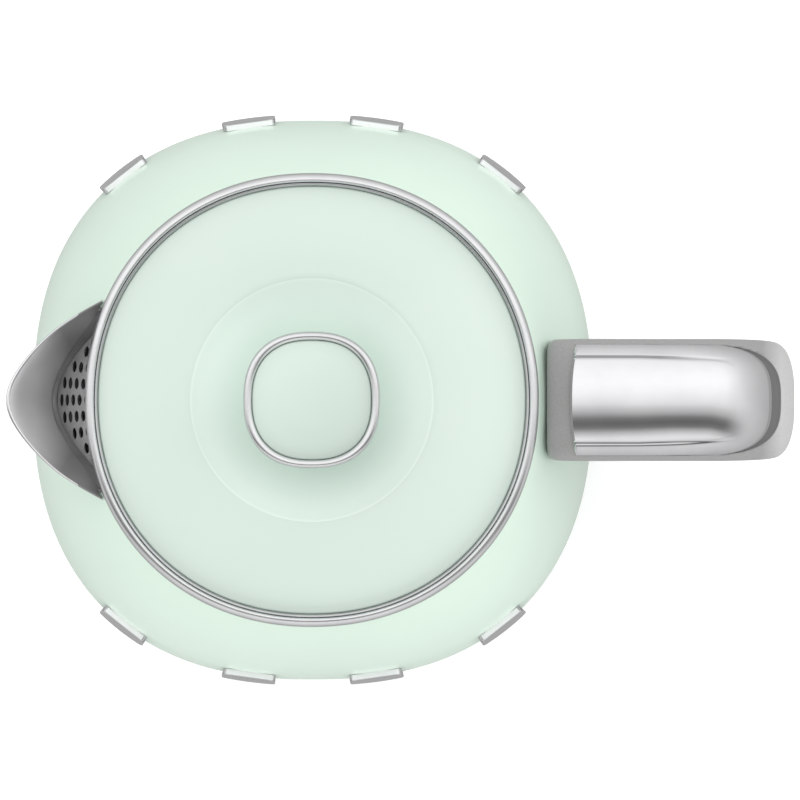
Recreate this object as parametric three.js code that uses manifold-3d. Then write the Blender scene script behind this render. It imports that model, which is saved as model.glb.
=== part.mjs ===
// A compact jug kettle that stands on a round power base. Millimetres, +Z up.
// The origin is on the jug's axis, on the table. The spout points to -X and the handle to +X.
//
// The jug is a pressed steel body, round at its neck and foot and a rounded square at its belly, with a
// chromed neck ring, a V-shaped beak, a lift-out strainer and a D-shaped handle. A lid with a round
// knob drops into the neck. Under the floor of the jug are the heating element, its control and the
// socket that drops over the post of the power base.
import * as THREE from "three";
import { mergeVertices } from "three/addons/utils/BufferGeometryUtils.js";
import Module from "manifold-3d";

const wasm = await Module();
wasm.setup();

// ---------------------------------------------------------------- driving dimensions
const GAP = 0.35; // kept between pieces that touch

const BODY = {
  foot: 30, // height of the body's lower edge
  belly: 90, // height of the widest section
  neck: 174, // height of the body's upper edge
  bellyHalf: 79.5, // half-widths of the section at those heights
  neckHalf: 63.5,
  footHalf: 67.5,
  wall: 1.1,
  bellySquare: 2.38, // superellipse exponents: 2 is a circle
  neckSquare: 2.1,
  footSquare: 2,
};
const RING = { outer: 63.9, crest: 62.4, bore: 61.35, collar: 62.05, ledge: 58.6, bottom: 170.2, top: 177.3 };
const SPOUT = {
  tip: -86.2, // X of the beak's tip
  halfWidth: 28.3, // at its root, under the neck ring
  rimRoot: 173.9, // height of the rim at the root and at the tip
  rimTip: 176.2,
  throat: 142, // lowest point of the opening behind the beak
  throatHalf: 26,
  throatTop: 170.5,
  wall: 1.2,
};
const STRAINER = {
  insetBottom: 1.9, // from the body's outer surface to the plate, at its two ends
  insetTop: 3.6,
  sheet: 0.8,
  bottom: 141,
  top: 168.6,
  halfAngle: 20.5, // degrees
  hole: 1.65, // radius
  columnPitch: 4.6,
  rowPitch: 4.8,
  firstRow: 146,
};
const LID = { half: 61, dish: 34.3, top: 179.4, edge: 174.9, dishFloor: 173.2, bore: 2.6 };
const LID_RING = { width: 1.15, bottom: 172.6, side: 175.4, top: 175.9 };
const PLUG = { radius: 54.4, bottom: 169.6, depth: 2.6, wall: 1.2, sheet: 1, vent: 2.2, ventCircle: 40 };
const SEAL = { inner: 54.8, outer: 57.8, lip: 58.2, bottom: 170.4, top: 172 };
const KNOB = { half: 19, inner: 17.1, square: 2.4, bottom: 173.5, shoulder: 188.4, top: 194.8 };
// The plated cap on the handle, by distances along X.
const CAP = { half: 15.7, start: 72.4, end: 129.9, roundFrom: 107, square: 3, rise: 2.6 };
const HANDLE_ROOT = 66.2; // X where the handle's upper arm begins, clear of the neck ring
const TILE = { width: 15, height: 18, thickness: 1.5, z: 108, corner: 4, angles: [50, 77, 103, 130] };
const BASE = { radius: 66, deck: 17, wall: 2.2, cover: 1.6, coverTop: 4.6 };
const FEET = { radius: 6, circle: 50, height: 1.3, centre: 10 };
const GLAND = { x: [58.6, 69.5], z: 9.7, radius: 4.6, bore: 3.2 };
const BASE_SCREW_CIRCLE = 42;
const POST = { radius: 12.6, step: 24, neck: 8.2, top: 29.5, pin: 2, clearance: 0.6 };
const FLOOR = { z: 46, sheet: 1.2 }; // the jug's heated floor
const SPREADER = { radius: 52, bottom: 43.4, top: 45.4 };
const ELEMENT = { radius: 42, tube: 3.3, z: 39.6, tail: 30, opening: 0.3 }; // opening in radians
const DISC = { radius: 12, bottom: 36.4, top: 37.2 };
const CONTROL = { radius: 27, bottom: 22, top: 36, chamfer: 1.5 };
const SKIRT = { half: 66, flare: 1.5, sheet: 1.5, bottom: 20.6, top: 29.6, notchTop: 28.4 };
const COVER = { radius: 64, hole: 19.4, face: 18.2, rim: 17.4, top: 20.2, circle: 50, ears: [19.5, 27.5] };
const LEVER = { pivotX: 61, pivotZ: 24.5, pin: 1.5, halfWidth: 7, reach: 84 };

// ---------------------------------------------------------------- materials
function finish(colour, roughness, metalness) {
  return new THREE.MeshStandardMaterial({ color: new THREE.Color(...colour), roughness, metalness });
}
const enamel = finish([0.75, 0.87, 0.78], 0.35, 0);
const chrome = finish([0.82, 0.82, 0.83], 0.12, 1);
const steel = finish([0.6, 0.6, 0.6], 0.38, 1);
const greyPlastic = finish([0.42, 0.43, 0.43], 0.5, 0);
const darkPlastic = finish([0.12, 0.12, 0.13], 0.55, 0);
const rubber = finish([0.06, 0.06, 0.06], 0.85, 0);
const silicone = finish([0.8, 0.82, 0.8], 0.6, 0);
const brass = finish([0.78, 0.62, 0.3], 0.3, 1);
const aluminium = finish([0.7, 0.7, 0.72], 0.45, 1);

// ---------------------------------------------------------------- shape helpers
const TURN = 40; // segments round a large section

const smooth = (t) => {
  const c = Math.min(1, Math.max(0, t));
  return c * c * (3 - 2 * c);
};

// Points of a superellipse of that half-width and exponent, at height z.
function section(half, z, square = 2, segments = TURN) {
  return Array.from({ length: segments }, (_, i) => {
    const a = (2 * Math.PI * i) / segments;
    const c = Math.abs(Math.cos(a)) ** square + Math.abs(Math.sin(a)) ** square;
    const r = half / c ** (1 / square);
    return new THREE.Vector3(r * Math.cos(a), r * Math.sin(a), z);
  });
}

// A closed surface from triangles of points. Faces that point inwards are turned round.
function closedSurface(triangles) {
  const volume = triangles.reduce((sum, [a, b, c]) => sum + a.dot(b.clone().cross(c)), 0);
  const positions = triangles.flatMap(([a, b, c]) =>
    (volume < 0 ? [a, c, b] : [a, b, c]).flatMap((p) => [p.x, p.y, p.z]),
  );
  return new THREE.BufferGeometry().setAttribute("position", new THREE.Float32BufferAttribute(positions, 3));
}

function quad(a, b, c, d) {
  return [
    [a, b, c],
    [a, c, d],
  ];
}

// Joins sections with the same number of points. A loop closes on itself, and a row is capped.
function loft(sections, loop) {
  const rows = loop ? [...sections, sections[0]] : sections;
  const triangles = [];
  for (let i = 0; i + 1 < rows.length; i++)
    rows[i].forEach((p, j) => {
      const k = (j + 1) % rows[i].length;
      triangles.push(...quad(p, rows[i][k], rows[i + 1][k], rows[i + 1][j]));
    });
  if (!loop)
    for (const [row, back] of [
      [rows[0], true],
      [rows[rows.length - 1], false],
    ]) {
      const middle = row.reduce((s, p) => s.add(p), new THREE.Vector3()).divideScalar(row.length);
      row.forEach((p, j) => {
        const q = row[(j + 1) % row.length];
        triangles.push(back ? [middle, q, p] : [middle, p, q]);
      });
    }
  return closedSurface(triangles);
}

// A profile of [half-width, height, exponent] turned into a superelliptical ring.
function squareRing(profile, segments = TURN) {
  return loft(
    profile.map(([half, z, square]) => section(half, z, square, segments)),
    true,
  );
}

// The same profile as a solid, from its first section to its last.
function squareSolid(profile, segments = TURN) {
  return loft(
    profile.map(([half, z, square]) => section(half, z, square, segments)),
    false,
  );
}

// A round piece about Z, from a profile of [radius, height] that ends on the axis or closes on itself.
function turned(profile, segments = 32) {
  const closed = profile[0][0] > 0;
  const points = (closed ? [...profile, profile[0]] : profile).map(([r, z]) => new THREE.Vector2(r, z));
  const lathe = new THREE.LatheGeometry(points, segments).toNonIndexed().rotateX(Math.PI / 2);
  const p = lathe.getAttribute("position");
  const corners = Array.from({ length: p.count }, (_, i) => new THREE.Vector3().fromBufferAttribute(p, i));
  const triangles = [];
  for (let i = 0; i < corners.length; i += 3) triangles.push(corners.slice(i, i + 3));
  return closedSurface(triangles);
}

// A sheet between two grids of points that match row by row, closed along its four edges.
function sheetBetween(front, back) {
  const triangles = [];
  const rows = front.length;
  const columns = front[0].length;
  for (let i = 0; i + 1 < rows; i++)
    for (let j = 0; j + 1 < columns; j++) {
      triangles.push(...quad(front[i][j], front[i][j + 1], front[i + 1][j + 1], front[i + 1][j]));
      triangles.push(...quad(back[i][j], back[i + 1][j], back[i + 1][j + 1], back[i][j + 1]));
    }
  for (let i = 0; i + 1 < rows; i++) {
    const last = columns - 1;
    triangles.push(...quad(front[i][0], front[i + 1][0], back[i + 1][0], back[i][0]));
    triangles.push(...quad(front[i][last], back[i][last], back[i + 1][last], front[i + 1][last]));
  }
  for (let j = 0; j + 1 < columns; j++) {
    const last = rows - 1;
    triangles.push(...quad(front[0][j], back[0][j], back[0][j + 1], front[0][j + 1]));
    triangles.push(...quad(front[last][j], front[last][j + 1], back[last][j + 1], back[last][j]));
  }
  return closedSurface(triangles);
}

function grid(rows, columns, at) {
  return Array.from({ length: rows }, (_, i) =>
    Array.from({ length: columns }, (_, j) => at(i / (rows - 1), j / (columns - 1))),
  );
}

function box(x, y, z) {
  const size = [x[1] - x[0], y[1] - y[0], z[1] - z[0]];
  return new THREE.BoxGeometry(...size).translate((x[0] + x[1]) / 2, (y[0] + y[1]) / 2, (z[0] + z[1]) / 2);
}

// A cylinder along Z from one height to another, centred on (x, y).
function post(radius, x, y, from, to, segments = 20) {
  return new THREE.CylinderGeometry(radius, radius, to - from, segments)
    .rotateX(Math.PI / 2)
    .translate(x, y, (from + to) / 2);
}

// A cylinder along Y, centred on (x, z).
function crossPin(radius, x, z, from, to, segments = 16) {
  return new THREE.CylinderGeometry(radius, radius, to - from, segments).translate(x, (from + to) / 2, z);
}

// ---------------------------------------------------------------- joining and cutting
function toSolid(geometry) {
  const bare = new THREE.BufferGeometry().setAttribute(
    "position",
    (geometry.index ? geometry.toNonIndexed() : geometry).getAttribute("position"),
  );
  const merged = mergeVertices(bare, 1e-4);
  return new wasm.Manifold(
    new wasm.Mesh({
      numProp: 3,
      vertProperties: merged.getAttribute("position").array,
      triVerts: new Uint32Array(merged.index.array),
    }),
  );
}

function toGeometry(solid) {
  const { vertProperties, triVerts, numProp, numVert } = solid.getMesh();
  const positions = new Float32Array(numVert * 3);
  for (let i = 0; i < numVert; i++)
    positions.set(vertProperties.subarray(i * numProp, i * numProp + 3), i * 3);
  return new THREE.BufferGeometry()
    .setAttribute("position", new THREE.BufferAttribute(positions, 3))
    .setIndex(new THREE.BufferAttribute(triVerts, 1));
}

function cut(geometry, ...tools) {
  return toGeometry(tools.reduce((solid, tool) => solid.subtract(toSolid(tool)), toSolid(geometry)));
}

function join(geometry, ...others) {
  return toGeometry(others.reduce((solid, other) => solid.add(toSolid(other)), toSolid(geometry)));
}

// ---------------------------------------------------------------- the body's surface
// Half-width and squareness of the body's outer surface at a height.
function bodyHalf(z) {
  const up = (z - BODY.belly) / (BODY.neck - BODY.belly);
  const down = (BODY.belly - z) / (BODY.belly - BODY.foot);
  return z > BODY.belly
    ? BODY.bellyHalf - (BODY.bellyHalf - BODY.neckHalf) * up ** 2.2
    : BODY.bellyHalf - (BODY.bellyHalf - BODY.footHalf) * down ** 2.6;
}

function bodySquare(z) {
  const up = (z - BODY.belly) / (BODY.neck - BODY.belly);
  const down = (BODY.belly - z) / (BODY.belly - BODY.foot);
  return z > BODY.belly
    ? BODY.bellySquare - (BODY.bellySquare - BODY.neckSquare) * up ** 2
    : BODY.bellySquare - (BODY.bellySquare - BODY.footSquare) * down ** 2;
}

// Distance of the body's outer surface, less an inset, from the YZ plane at that y and z.
function bodyReach(y, z, inset = 0) {
  const n = bodySquare(z);
  return ((bodyHalf(z) - inset) ** n - Math.abs(y) ** n) ** (1 / n);
}

function bodyLevels(from, to, count) {
  return Array.from({ length: count }, (_, i) => from + ((to - from) * i) / (count - 1));
}

// The whole space inside the body's outer surface, grown by an offset, with a clear column over the neck.
function bodySpace(grow) {
  const levels = bodyLevels(BODY.foot - 12, BODY.neck, 14);
  const side = levels.map((z) => {
    const level = Math.max(z, BODY.foot);
    return [bodyHalf(level) + grow, z, bodySquare(level)];
  });
  const column = RING.outer + GAP;
  return squareSolid([
    ...side,
    [column, BODY.neck + 0.2, BODY.neckSquare],
    [column, BODY.neck + 12, BODY.neckSquare],
  ]);
}

// ---------------------------------------------------------------- jug: body, neck ring, beak
// Height of the pouring opening's edge at a distance y from the middle.
const throatEdge = (y) =>
  SPOUT.throat + (SPOUT.throatTop - SPOUT.throat) * smooth(Math.abs(y) / SPOUT.throatHalf);

// The space of the pouring opening, from outside the beak to inside the wall.
function throatPrism() {
  const steps = 18;
  const [outside, inside] = [-92, -47];
  const outline = new THREE.Shape();
  for (let i = 0; i <= steps; i++) {
    const y = SPOUT.throatHalf * ((2 * i) / steps - 1);
    if (i === 0) outline.moveTo(y, throatEdge(y));
    else outline.lineTo(y, throatEdge(y));
  }
  outline.lineTo(SPOUT.throatHalf, BODY.neck + 4);
  outline.lineTo(-SPOUT.throatHalf, BODY.neck + 4);
  const cyclic = new THREE.Matrix4().makeBasis(
    new THREE.Vector3(0, 1, 0),
    new THREE.Vector3(0, 0, 1),
    new THREE.Vector3(1, 0, 0),
  );
  return new THREE.ExtrudeGeometry(outline, { depth: inside - outside, bevelEnabled: false, steps: 1 })
    .applyMatrix4(cyclic)
    .translate(outside, 0, 0);
}

function bodyShell() {
  const outer = bodyLevels(BODY.foot, BODY.neck, 10);
  const shell = squareRing([
    ...outer.map((z) => [bodyHalf(z), z, bodySquare(z)]),
    ...[...outer].reverse().map((z) => [bodyHalf(z) - BODY.wall, z, bodySquare(z)]),
  ]);
  return cut(shell, throatPrism());
}

// The ring caps the body's upper edge, and a ledge inside it carries the lid.
function neckRing() {
  const bead = BODY.neck + GAP;
  const ledgeTop = RING.bottom + 2;
  return squareRing(
    [
      [RING.collar, bead],
      [RING.outer - 0.3, bead],
      [RING.outer, bead + 1.2],
      [RING.crest, RING.top],
      [RING.bore, RING.top - 0.8],
      [RING.bore, ledgeTop],
      [RING.ledge, ledgeTop],
      [RING.ledge, RING.bottom],
      [RING.collar, RING.bottom],
    ].map(([half, z]) => [half, z, BODY.neckSquare]),
  );
}

// The rim's distance from the tip, seen from above, at a distance y from the middle.
const rimDepth = (y) => (Math.abs(y) / (4.5 + 0.9 * smooth(Math.abs(y) / 22))) ** 2;

// A point of the beak's outer surface: u runs across it from -1 to 1, and v from the body to the rim.
function beakPoint(u, v, inset) {
  const side = Math.sign(u) * Math.abs(u) ** 0.8;
  const rimY = side * (SPOUT.halfWidth - inset);
  const rim = new THREE.Vector3(
    SPOUT.tip + inset + rimDepth(rimY),
    rimY,
    SPOUT.rimTip + (SPOUT.rimRoot - SPOUT.rimTip) * Math.abs(u) ** 1.5,
  );
  const rootY = side * (SPOUT.throatHalf + 1.2 - inset);
  const rootZ = Math.min(throatEdge(rootY) - 1 + inset, SPOUT.rimRoot - 1.5);
  const root = new THREE.Vector3(-bodyReach(rootY, rootZ, 2), rootY, rootZ);
  const belly = 1.6 * Math.sin(Math.PI * v) * (1 - u * u);
  return root.lerp(rim, v).add(new THREE.Vector3(-belly, 0, -belly * 0.5));
}

function spoutBeak() {
  const across = 21;
  const up = 5;
  const surface = (inset) => grid(up, across, (v, s) => beakPoint(2 * s - 1, v, inset));
  return cut(sheetBetween(surface(0), surface(SPOUT.wall)), bodySpace(GAP));
}

// ---------------------------------------------------------------- jug: strainer and its clips
// The strainer's inset from the body's outer surface at a height.
function strainerInset(z) {
  const t = (z - STRAINER.bottom) / (STRAINER.top - STRAINER.bottom);
  return STRAINER.insetBottom + (STRAINER.insetTop - STRAINER.insetBottom) * t;
}

// A curved panel at the spout, between two distances inwards from the strainer's face.
function wallPanel(depths, angles, heights, columns = 11, rows = 4) {
  const surface = (depth) =>
    grid(rows, columns, (t, s) => {
      const angle = Math.PI + THREE.MathUtils.degToRad(angles[0] + (angles[1] - angles[0]) * s);
      const z = heights[0] + (heights[1] - heights[0]) * t;
      const n = bodySquare(z);
      const c = Math.abs(Math.cos(angle)) ** n + Math.abs(Math.sin(angle)) ** n;
      const r = (bodyHalf(z) - strainerInset(z) - depth) / c ** (1 / n);
      return new THREE.Vector3(r * Math.cos(angle), r * Math.sin(angle), z);
    });
  return sheetBetween(surface(depths[0]), surface(depths[1]));
}

// The holes lie in staggered columns, wherever the opening leaves room round them.
function strainerHoles() {
  const holes = [];
  for (let column = -4; column <= 4; column++) {
    const y = column * STRAINER.columnPitch;
    const shift = column % 2 ? STRAINER.rowPitch / 2 : 0;
    for (let z = STRAINER.firstRow + shift; z < STRAINER.top - 2.5; z += STRAINER.rowPitch)
      if (z >= throatEdge(y) + 3.4) holes.push([y, z]);
  }
  return holes;
}

function strainerPlate() {
  const { sheet, bottom, top, halfAngle } = STRAINER;
  const panel = wallPanel([0, sheet], [-halfAngle, halfAngle], [bottom, top]);
  const drills = strainerHoles().map(([y, z]) =>
    new THREE.CylinderGeometry(STRAINER.hole, STRAINER.hole, 12, 6)
      .rotateZ(Math.PI / 2)
      .rotateY(-0.35)
      .translate(-bodyReach(y, z, strainerInset(z)), y, z),
  );
  return cut(panel, ...drills);
}

function strainerFrame() {
  const { sheet, bottom, top, halfAngle } = STRAINER;
  const near = sheet + 0.3;
  const border = wallPanel([near, near + 1.2], [-halfAngle, halfAngle], [bottom - 1, top + 0.3]);
  return cut(border, box([-90, -50], [-20, 20], [bottom + 2.6, top - 2.4]));
}

// A guide beside the strainer, fixed to the inside of the wall.
function strainerClip(side) {
  const start = STRAINER.halfAngle + 3.4;
  const angles = side > 0 ? [start, start + 1.8] : [-start - 1.8, -start];
  return wallPanel([-0.3, 2.6], angles, [148, 164], 3, 4);
}

// ---------------------------------------------------------------- jug: handle
// Centre line of the handle in the XZ plane, with half-thickness, half-width and squareness.
const HANDLE_LINE = [
  [62, 161.4, 8, 16.8, 5],
  [74, 164, 7.6, 17.2, 5],
  [90, 165.8, 7.4, 17.2, 4.6],
  [105, 164.6, 7.3, 17.2, 4],
  [116, 160, 7.2, 17.2, 3.4],
  [124, 151.5, 7.1, 17, 3],
  [128.6, 139, 7.2, 16.6, 2.7],
  [129.1, 124, 7.2, 16, 2.5],
  [127, 108, 7, 15.2, 2.5],
  [121, 91, 6.8, 14.4, 2.6],
  [110.5, 75, 6.5, 13.6, 2.8],
  [96.5, 62.5, 6.3, 13, 3],
  [83, 55.5, 6.4, 12.8, 3.2],
  [70, 52, 6.6, 12.8, 3.2],
];

// The handle's centre, directions and section at a share of its length.
function handleAt(t) {
  const last = HANDLE_LINE.length - 1;
  const path = new THREE.CatmullRomCurve3(HANDLE_LINE.map(([x, z]) => new THREE.Vector3(x, 0, z)));
  const i = Math.min(last - 1, Math.floor(t * last));
  const f = t * last - i;
  const [thick, half, square] = [2, 3, 4].map((k) => HANDLE_LINE[i][k] * (1 - f) + HANDLE_LINE[i + 1][k] * f);
  const tangent = path.getTangent(t);
  return { centre: path.getPoint(t), out: new THREE.Vector3(-tangent.z, 0, tangent.x), thick, half, square };
}

function handleCoreSection(t) {
  const { centre, out, thick, half, square } = handleAt(t);
  return section(1, 0, square, 16).map((p) => {
    const across = new THREE.Vector3(0, p.y * half, 0);
    return centre.clone().addScaledVector(out, p.x * thick).add(across);
  });
}

// Screws come up from below: one in the upper arm and one in the lower arm.
const HANDLE_SCREW = { shank: 2, head: 3.5, headHeight: 2, bore: 2.4, headBore: 4 };
const HANDLE_SCREWS = [
  { name: "handle_screw_upper", x: 82, head: 158.8, tip: 168 },
  { name: "handle_screw_lower", x: 84, head: 50.8, tip: 59 },
];
const BRACKETS = [
  { name: "upper_bracket", x: [60, 88], z: [162.8, 166.4], half: 8 },
  { name: "lower_bracket", x: [70, 89], z: [54.6, 57.2], half: 7 },
];

function handleCore() {
  const stations = 24;
  const arm = loft(
    Array.from({ length: stations }, (_, i) => handleCoreSection(i / (stations - 1))),
    false,
  );
  const pockets = BRACKETS.map(({ x, z, half }) =>
    box([x[0], x[1] + GAP], [-half - GAP, half + GAP], [z[0] - GAP, z[1] + GAP]),
  );
  const bores = HANDLE_SCREWS.flatMap(({ x, head, tip }) => [
    post(HANDLE_SCREW.bore, x, 0, head - 6, tip + 1),
    post(HANDLE_SCREW.headBore, x, 0, head - 8, head + HANDLE_SCREW.headHeight + 0.4),
  ]);
  const rootRelief = box([50, HANDLE_ROOT], [-20, 20], [160, 185]);
  return cut(arm, bodySpace(GAP), rootRelief, ...pockets, ...bores);
}

function bracket({ x, z, half }) {
  const screw = HANDLE_SCREWS.find((s) => s.x > x[0] && s.x < x[1] && Math.abs(s.tip - z[1]) < 5);
  const bore = post(HANDLE_SCREW.bore, screw.x, 0, z[0] - 2, z[1] + 2);
  return cut(box(x, [-half, half], z), bodySpace(GAP), bore);
}

function handleScrew({ x, head, tip }) {
  const { shank, head: headRadius, headHeight } = HANDLE_SCREW;
  return join(post(shank, x, 0, head, tip, 10), post(headRadius, x, 0, head, head + headHeight, 10));
}

// Half-width of the plated cap at a distance along X: square at the body, rounded at its outer end.
function capHalfWidth(x) {
  const cornerLength = 3;
  const cornerShare = 0.08;
  const corner = Math.max(0, 1 - (x - CAP.start) / cornerLength) ** 2;
  const end = Math.min(1, Math.max(0, (x - CAP.roundFrom) / (CAP.end - CAP.roundFrom)));
  return CAP.half * (1 - cornerShare * corner) * (1 - end ** CAP.square) ** (1 / CAP.square);
}

// The share of the handle's length at which its outer surface reaches X.
function handleShareAt(x) {
  let [low, high] = [0, 0.5];
  for (let i = 0; i < 30; i++) {
    const mid = (low + high) / 2;
    const { centre, out, thick } = handleAt(mid);
    if (centre.x + out.x * thick < x) low = mid;
    else high = mid;
  }
  return low;
}

function handleCap() {
  const [from, to] = [handleShareAt(CAP.start), handleShareAt(CAP.end - 0.4)];
  const surface = (rise) =>
    grid(14, 9, (s, a) => {
      const t = from + (to - from) * (1 - (1 - s) ** 1.5);
      const { centre, out, thick, half, square } = handleAt(t);
      const reach = centre.x + out.x * thick;
      const y = capHalfWidth(reach) * Math.sin((Math.PI / 2) * (2 * a - 1));
      const drop = (1 - Math.abs(y / half) ** square) ** (1 / square);
      const crown = rise * (0.35 + 0.65 * Math.cos((Math.PI / 2) * (2 * a - 1)));
      const height = thick * drop + GAP + crown;
      return centre.clone().addScaledVector(out, height).add(new THREE.Vector3(0, y, 0));
    });
  return sheetBetween(surface(CAP.rise), surface(0));
}

// ---------------------------------------------------------------- jug: trim tiles
function roundedTile() {
  const [w, h, r] = [TILE.width / 2, TILE.height / 2, TILE.corner];
  const outline = new THREE.Shape();
  outline.moveTo(-w + r, -h);
  for (const [x, y, turn] of [
    [w - r, -h + r, -0.5],
    [w - r, h - r, 0],
    [-w + r, h - r, 0.5],
    [-w + r, -h + r, 1],
  ])
    outline.absarc(x, y, r, turn * Math.PI, (turn + 0.5) * Math.PI, false);
  return new THREE.ExtrudeGeometry(outline, {
    depth: TILE.thickness,
    bevelEnabled: false,
    steps: 1,
    curveSegments: 2,
  });
}

// A flat tile lying against the body, tilted as the surface is there.
function trimTile(degrees) {
  const a = THREE.MathUtils.degToRad(degrees);
  const n = bodySquare(TILE.z);
  const power = (v) => Math.sign(v) * Math.abs(v) ** (n - 1);
  const outwards = new THREE.Vector3(power(Math.cos(a)), power(Math.sin(a)), 0).normalize();
  const lean = Math.atan(bodyHalf(TILE.z - 0.5) - bodyHalf(TILE.z + 0.5));
  const normal = outwards.clone().multiplyScalar(Math.cos(lean)).setZ(Math.sin(lean));
  const along = new THREE.Vector3(0, 0, 1).cross(outwards);
  const up = normal.clone().cross(along);
  const spread = Math.abs(Math.cos(a)) ** n + Math.abs(Math.sin(a)) ** n;
  const r = bodyHalf(TILE.z) / spread ** (1 / n);
  const centre = new THREE.Vector3(r * Math.cos(a), r * Math.sin(a), TILE.z).addScaledVector(normal, GAP);
  return roundedTile().applyMatrix4(new THREE.Matrix4().makeBasis(along, up, normal).setPosition(centre));
}

// ---------------------------------------------------------------- jug: heated floor and underside
function heatedFloor() {
  const half = bodyHalf(FLOOR.z) - BODY.wall - GAP;
  const square = bodySquare(FLOOR.z);
  return squareSolid([
    [half, FLOOR.z, square],
    [half, FLOOR.z + FLOOR.sheet, square],
  ]);
}

function floorSeal() {
  const z = FLOOR.z - GAP;
  const half = bodyHalf(z - 3) - BODY.wall - GAP;
  const square = bodySquare(z - 3);
  return squareRing([
    [half - 4, z - 2.6, square],
    [half, z - 2.6, square],
    [half, z, square],
    [half - 4, z, square],
  ]);
}

function heatingElement() {
  const open = ELEMENT.opening;
  const steps = 20;
  const ring = Array.from({ length: steps + 1 }, (_, i) => {
    const a = open + ((2 * Math.PI - 2 * open) * i) / steps + Math.PI;
    return new THREE.Vector3(ELEMENT.radius * Math.cos(a), ELEMENT.radius * Math.sin(a), ELEMENT.z);
  });
  const [first, last] = [ring[0], ring[steps]];
  const tail = (p) => [
    new THREE.Vector3(p.x * 1.04, p.y * 0.55, ELEMENT.tail),
    new THREE.Vector3(p.x * 1.03, p.y * 0.7, (ELEMENT.tail + ELEMENT.z) / 2),
  ];
  const path = new THREE.CatmullRomCurve3([...tail(first), ...ring, ...tail(last).reverse()]);
  const outline = new THREE.Shape().absarc(0, 0, ELEMENT.tube, 0, 2 * Math.PI, false);
  return new THREE.ExtrudeGeometry(outline, {
    extrudePath: path,
    steps: 40,
    curveSegments: 3,
    bevelEnabled: false,
  });
}

// A steel band round the foot of the jug, with a notch for the switch lever.
function skirtRing() {
  const { half, flare, sheet, bottom, top, notchTop } = SKIRT;
  const ring = squareRing([
    [half, bottom, 2],
    [half + flare, top, 2],
    [half + flare - sheet, top, 2],
    [half - sheet, bottom, 2],
  ]);
  const notchHalf = LEVER.halfWidth + 1.5;
  return cut(ring, box([50, 75], [-notchHalf, notchHalf], [bottom - 0.6, notchTop]));
}

// Places on a circle about Z, at those angles in degrees.
function circlePlaces(radius, angles) {
  return angles.map((degrees) => {
    const a = THREE.MathUtils.degToRad(degrees);
    return [radius * Math.cos(a), radius * Math.sin(a)];
  });
}

const COVER_SCREWS = circlePlaces(COVER.circle, [60, 180, 300]);

function bottomCover() {
  const { radius, hole, face, rim, top } = COVER;
  const plate = turned([
    [hole, face],
    [radius - 6.5, face],
    [radius - 6, rim],
    [radius - 2, rim],
    [radius - 0.6, face],
    [radius, top],
    [hole, top],
  ]);
  const ears = [-1, 1].map((side) => {
    const y = side > 0 ? [9.6, 12.4] : [-12.4, -9.6];
    return box([LEVER.pivotX - 2, LEVER.pivotX + 2], y, COVER.ears);
  });
  const bores = COVER_SCREWS.map(([x, y]) => post(1.9, x, y, 15, 24, 10));
  return cut(join(plate, ...ears), crossPin(LEVER.pin + 0.3, LEVER.pivotX, LEVER.pivotZ, -15, 15), ...bores);
}

function coverScrew([x, y]) {
  return join(post(1.5, x, y, 17.5, 28, 8), post(3, x, y, 17.4, 17.9, 8));
}

function controlHousing() {
  const { radius, bottom, top, chamfer } = CONTROL;
  return turned([
    [COVER.hole, bottom],
    [radius, bottom],
    [radius, top - chamfer],
    [radius - chamfer, top],
    [COVER.hole, top],
  ]);
}

// The lever rocks on its pin: the paddle outside the skirt goes down to switch on.
function switchLever() {
  const x = LEVER.pivotX;
  const z = LEVER.pivotZ;
  const arm = box([34, 70], [-3.2, 3.2], [z - 1.6, z + 1.6]);
  const hub = crossPin(3, x, z, -LEVER.halfWidth - 1, LEVER.halfWidth + 1);
  const outline = new THREE.Shape();
  outline.moveTo(68, -1.6);
  outline.lineTo(LEVER.reach - 2, -3.4);
  outline.quadraticCurveTo(LEVER.reach, -3.2, LEVER.reach, -1.4);
  outline.quadraticCurveTo(LEVER.reach - 1, 1.2, 76, 2);
  outline.lineTo(68, 2);
  const paddle = new THREE.ExtrudeGeometry(outline, {
    depth: 2 * LEVER.halfWidth,
    bevelEnabled: false,
    steps: 1,
    curveSegments: 4,
  })
    .rotateX(Math.PI / 2)
    .translate(0, LEVER.halfWidth, z);
  return cut(join(arm, hub, paddle), crossPin(LEVER.pin + 0.25, x, z, -12, 12));
}

function connectorSocket() {
  const mouth = POST.radius + POST.clearance;
  const step = POST.step + POST.clearance;
  const [bottom, top] = [19.2, 34.6];
  const outer = COVER.hole - 0.8;
  const throat = 10.6; // room for the post's contact ring
  const throatTop = POST.top + 1.1;
  const pinRoom = 3.4;
  return turned([
    [mouth, bottom],
    [outer, bottom],
    [outer, top],
    [0, top],
    [0, throatTop + 1.8],
    [pinRoom, throatTop + 1.8],
    [pinRoom, throatTop],
    [throat, throatTop],
    [throat, step],
    [mouth, step],
  ]);
}

// ---------------------------------------------------------------- lid
function lidCover() {
  const { dish, top, edge, dishFloor, bore } = LID;
  const outside = [
    [bore, dishFloor, 2],
    [18, dishFloor + 0.4, 2],
    [27, dishFloor + 2.6, 2],
    [dish - 0.7, top - 0.7, 2],
    [dish + 0.9, top, 2],
    [46, top - 0.9, 2.03],
    [55, top - 2.9, 2.07],
    [LID.half - 1.5, edge, 2.1],
  ];
  const inside = [
    [LID.half - 1.5, edge - 1.4, 2.1],
    [55, top - 4.4, 2.07],
    [46, top - 2.4, 2.03],
    [dish + 0.9, top - 1.6, 2],
    [27, dishFloor + 1, 2],
    [18, dishFloor - 1.1, 2],
    [bore, dishFloor - 1.5, 2],
  ];
  return squareRing([...outside, ...inside]);
}

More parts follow.
